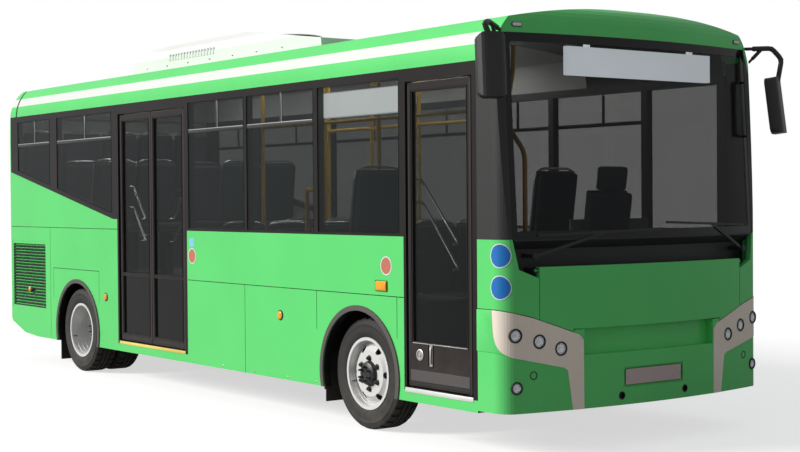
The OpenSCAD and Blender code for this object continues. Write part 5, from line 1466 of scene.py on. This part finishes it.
class CITYBUS_OT_cab(bpy.types.Operator):
    """Makes the instrument hood, vents and dials of the cab, and the saloon's ceiling lamps"""
    bl_idname = "citybus.cab"
    bl_label = "Cab fittings and ceiling lamps"

    def execute(self, context):
        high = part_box("dashboard")[1]
        top = high.z
        hood = [slab((high.x - 0.089, 0.43, top - 0.03), (high.x - 0.007, 0.85, top + 0.056), 0.018, 3)]
        vents = [slab((high.x - 0.062, y - 0.06, top - 0.006), (high.x - 0.010, y + 0.06, top + 0.008), 0.004)
                 for y in (-0.30, -0.02, 0.26)]
        show("instrument_hood", hood + vents, extra("cab_moulding"))
        ring = [(0.0, 0.0), (0.022, 0.0), (0.022, 0.003), (0.020, 0.004), (0.018, 0.002), (0.0, 0.002)]
        dials = [placed(turned(ring, 32), facing((high.x - 0.0885, y, top + 0.022), OUT_REAR))
                 for y in (0.54, 0.61, 0.68, 0.75)]
        tubes, holders = [], []
        for y in (-CEILING_Y, CEILING_Y):
            for i in range(4):
                x = CEILING_START + i * CEILING_PITCH
                tubes.append(slab((x, y - 0.055, 2.795), (x + CEILING_LENGTH, y + 0.055, 2.825), 0.012, 2))
                for end in (x - 0.02, x + CEILING_LENGTH - 0.03):
                    holders.append(slab((end, y - 0.06, 2.790), (end + 0.05, y + 0.06, 2.83), 0.006))
        show("ceiling_lamps", tubes, extra("lamp_tube"))
        show("ceiling_lamp_ends", holders, extra("unit_white"))
        show("instrument_dials", dials, extra("dial_dark"))
        return {"FINISHED"}


# Stage

SUN_FROM = Vector((-0.62, -1.0, 0.62))
SUN_SPREAD = math.radians(25)
MIRROR_LOSS = 0.70
FLOOR_HALF = 60.0


class CITYBUS_OT_stage(bpy.types.Operator):
    """Lays the pale floor and sets the lights and the camera"""
    bl_idname = "citybus.stage"
    bl_label = "Stage"

    def execute(self, context):
        scene = context.scene
        view = scene.citybus_view
        scene.view_settings.view_transform = "Standard"
        flat = math.cos(view.pitch)
        forward = Vector((-math.sin(view.yaw) * flat, math.cos(view.yaw) * flat, -math.sin(view.pitch)))
        level = forward.cross(UP).normalized()
        upright = level.cross(forward)
        right = math.cos(view.roll) * level - math.sin(view.roll) * upright
        up = right.cross(forward)
        camera = bpy.data.cameras.new("photo_camera")
        camera.sensor_width = 36.0
        camera.sensor_fit = "HORIZONTAL"
        camera.lens = view.lens
        camera.clip_end = 200.0
        eye = bpy.data.objects.new("photo_camera", camera)
        turn = Matrix((right, up, -forward)).transposed().to_4x4()
        eye.matrix_world = Matrix.Translation(Vector(view.eye)) @ turn
        scene.collection.objects.link(eye)
        scene.camera = eye
        build_floor()
        build_world(scene, view.fill)
        sun = bpy.data.lights.new("key_sun", "SUN")
        sun.energy = view.key
        sun.angle = SUN_SPREAD
        sun.color = (1.0, 0.98, 0.94)
        key = bpy.data.objects.new("key_sun", sun)
        key.rotation_euler = SUN_FROM.to_track_quat("Z", "Y").to_euler()
        scene.collection.objects.link(key)
        return {"FINISHED"}


def seen_directly(tree):
    """1 for rays from the camera or through glass, less for mirrored ones, 0 for those that only light."""
    rays = tree.nodes.new("ShaderNodeLightPath")
    mirror = math_node(tree, "MAXIMUM", rays.outputs["Is Glossy Ray"], rays.outputs["Is Transmission Ray"])
    seen = math_node(tree, "MAXIMUM", rays.outputs["Is Camera Ray"], mirror)
    loss = math_node(tree, "MULTIPLY", rays.outputs["Is Glossy Ray"], MIRROR_LOSS)
    return math_node(tree, "SUBTRACT", seen, loss)


def build_floor():
    """Pale floor that looks white and sends little light back."""
    bm = bmesh.new()
    bmesh.ops.create_grid(bm, x_segments=2, y_segments=2, size=FLOOR_HALF)
    mesh = bpy.data.meshes.new("studio_floor")
    bm.to_mesh(mesh)
    bm.free()
    floor = bpy.data.objects.new("studio_floor", mesh)
    bpy.context.scene.collection.objects.link(floor)
    material = bpy.data.materials.new("studio_floor")
    material.use_nodes = True
    tree = material.node_tree
    shader = tree.nodes["Principled BSDF"]
    seen = seen_directly(tree)
    base = mix_colour(tree, seen, (0.25, 0.25, 0.25), (0.45, 0.45, 0.45))
    glow = mix_colour(tree, seen, (0.0, 0.0, 0.0), (0.64, 0.64, 0.64))
    tree.links.new(base, shader.inputs["Base Color"])
    tree.links.new(glow, shader.inputs["Emission Color"])
    shader.inputs["Emission Strength"].default_value = 1.0
    shader.inputs["Roughness"].default_value = 0.9
    shader.inputs["Specular IOR Level"].default_value = 0.0
    mesh.materials.append(material)


def build_world(scene, fill):
    """White surround that lights the bus softly."""
    world = bpy.data.worlds.new("studio_world")
    scene.world = world
    world.use_nodes = True
    tree = world.node_tree
    tree.nodes.clear()
    out = tree.nodes.new("ShaderNodeOutputWorld")
    soft = tree.nodes.new("ShaderNodeBackground")
    soft.inputs["Color"].default_value = (0.93, 0.96, 1.0, 1.0)
    soft.inputs["Strength"].default_value = fill
    shown = tree.nodes.new("ShaderNodeBackground")
    shown.inputs["Color"].default_value = (1.0, 1.0, 1.0, 1.0)
    shown.inputs["Strength"].default_value = 1.0
    pick = tree.nodes.new("ShaderNodeMixShader")
    tree.links.new(seen_directly(tree), pick.inputs[0])
    tree.links.new(soft.outputs[0], pick.inputs[1])
    tree.links.new(shown.outputs[0], pick.inputs[2])
    tree.links.new(pick.outputs[0], out.inputs["Surface"])


class CITYBUS_PT_dressing(bpy.types.Panel):
    """Lists the steps that dress the bus"""
    bl_label = "City bus"
    bl_idname = "CITYBUS_PT_dressing"
    bl_space_type = "VIEW_3D"
    bl_region_type = "UI"
    bl_category = "City bus"

    def draw(self, context):
        scene = context.scene
        for group in (scene.citybus_colours, scene.citybus_sizes, scene.citybus_view):
            for name in group.__annotations__:
                self.layout.prop(group, name)
        for step in OPERATORS:
            self.layout.operator(step.bl_idname)


OPERATORS = (CITYBUS_OT_finishes, CITYBUS_OT_tyres, CITYBUS_OT_wheel_fittings, CITYBUS_OT_front_lamps,
             CITYBUS_OT_side_windows, CITYBUS_OT_doors, CITYBUS_OT_stickers, CITYBUS_OT_front_fittings,
             CITYBUS_OT_side_fittings, CITYBUS_OT_seats, CITYBUS_OT_rear_fittings, CITYBUS_OT_roof_fittings,
             CITYBUS_OT_cab, CITYBUS_OT_stage)
CLASSES = (CityBusColours, CityBusSizes, CityBusView, *OPERATORS, CITYBUS_PT_dressing)


def register():
    """Makes the steps and their settings known to Blender."""
    for made in CLASSES:
        bpy.utils.register_class(made)
    bpy.types.Scene.citybus_colours = bpy.props.PointerProperty(type=CityBusColours)
    bpy.types.Scene.citybus_sizes = bpy.props.PointerProperty(type=CityBusSizes)
    bpy.types.Scene.citybus_view = bpy.props.PointerProperty(type=CityBusView)


def unregister():
    """Takes the steps and their settings away again."""
    del bpy.types.Scene.citybus_colours
    del bpy.types.Scene.citybus_sizes
    del bpy.types.Scene.citybus_view
    for made in reversed(CLASSES):
        bpy.utils.unregister_class(made)


def main():
    """Runs every step in order."""
    register()
    for step in OPERATORS:
        area, name = step.bl_idname.split(".")
        getattr(getattr(bpy.ops, area), name)()


if __name__ == "__main__":
    main()
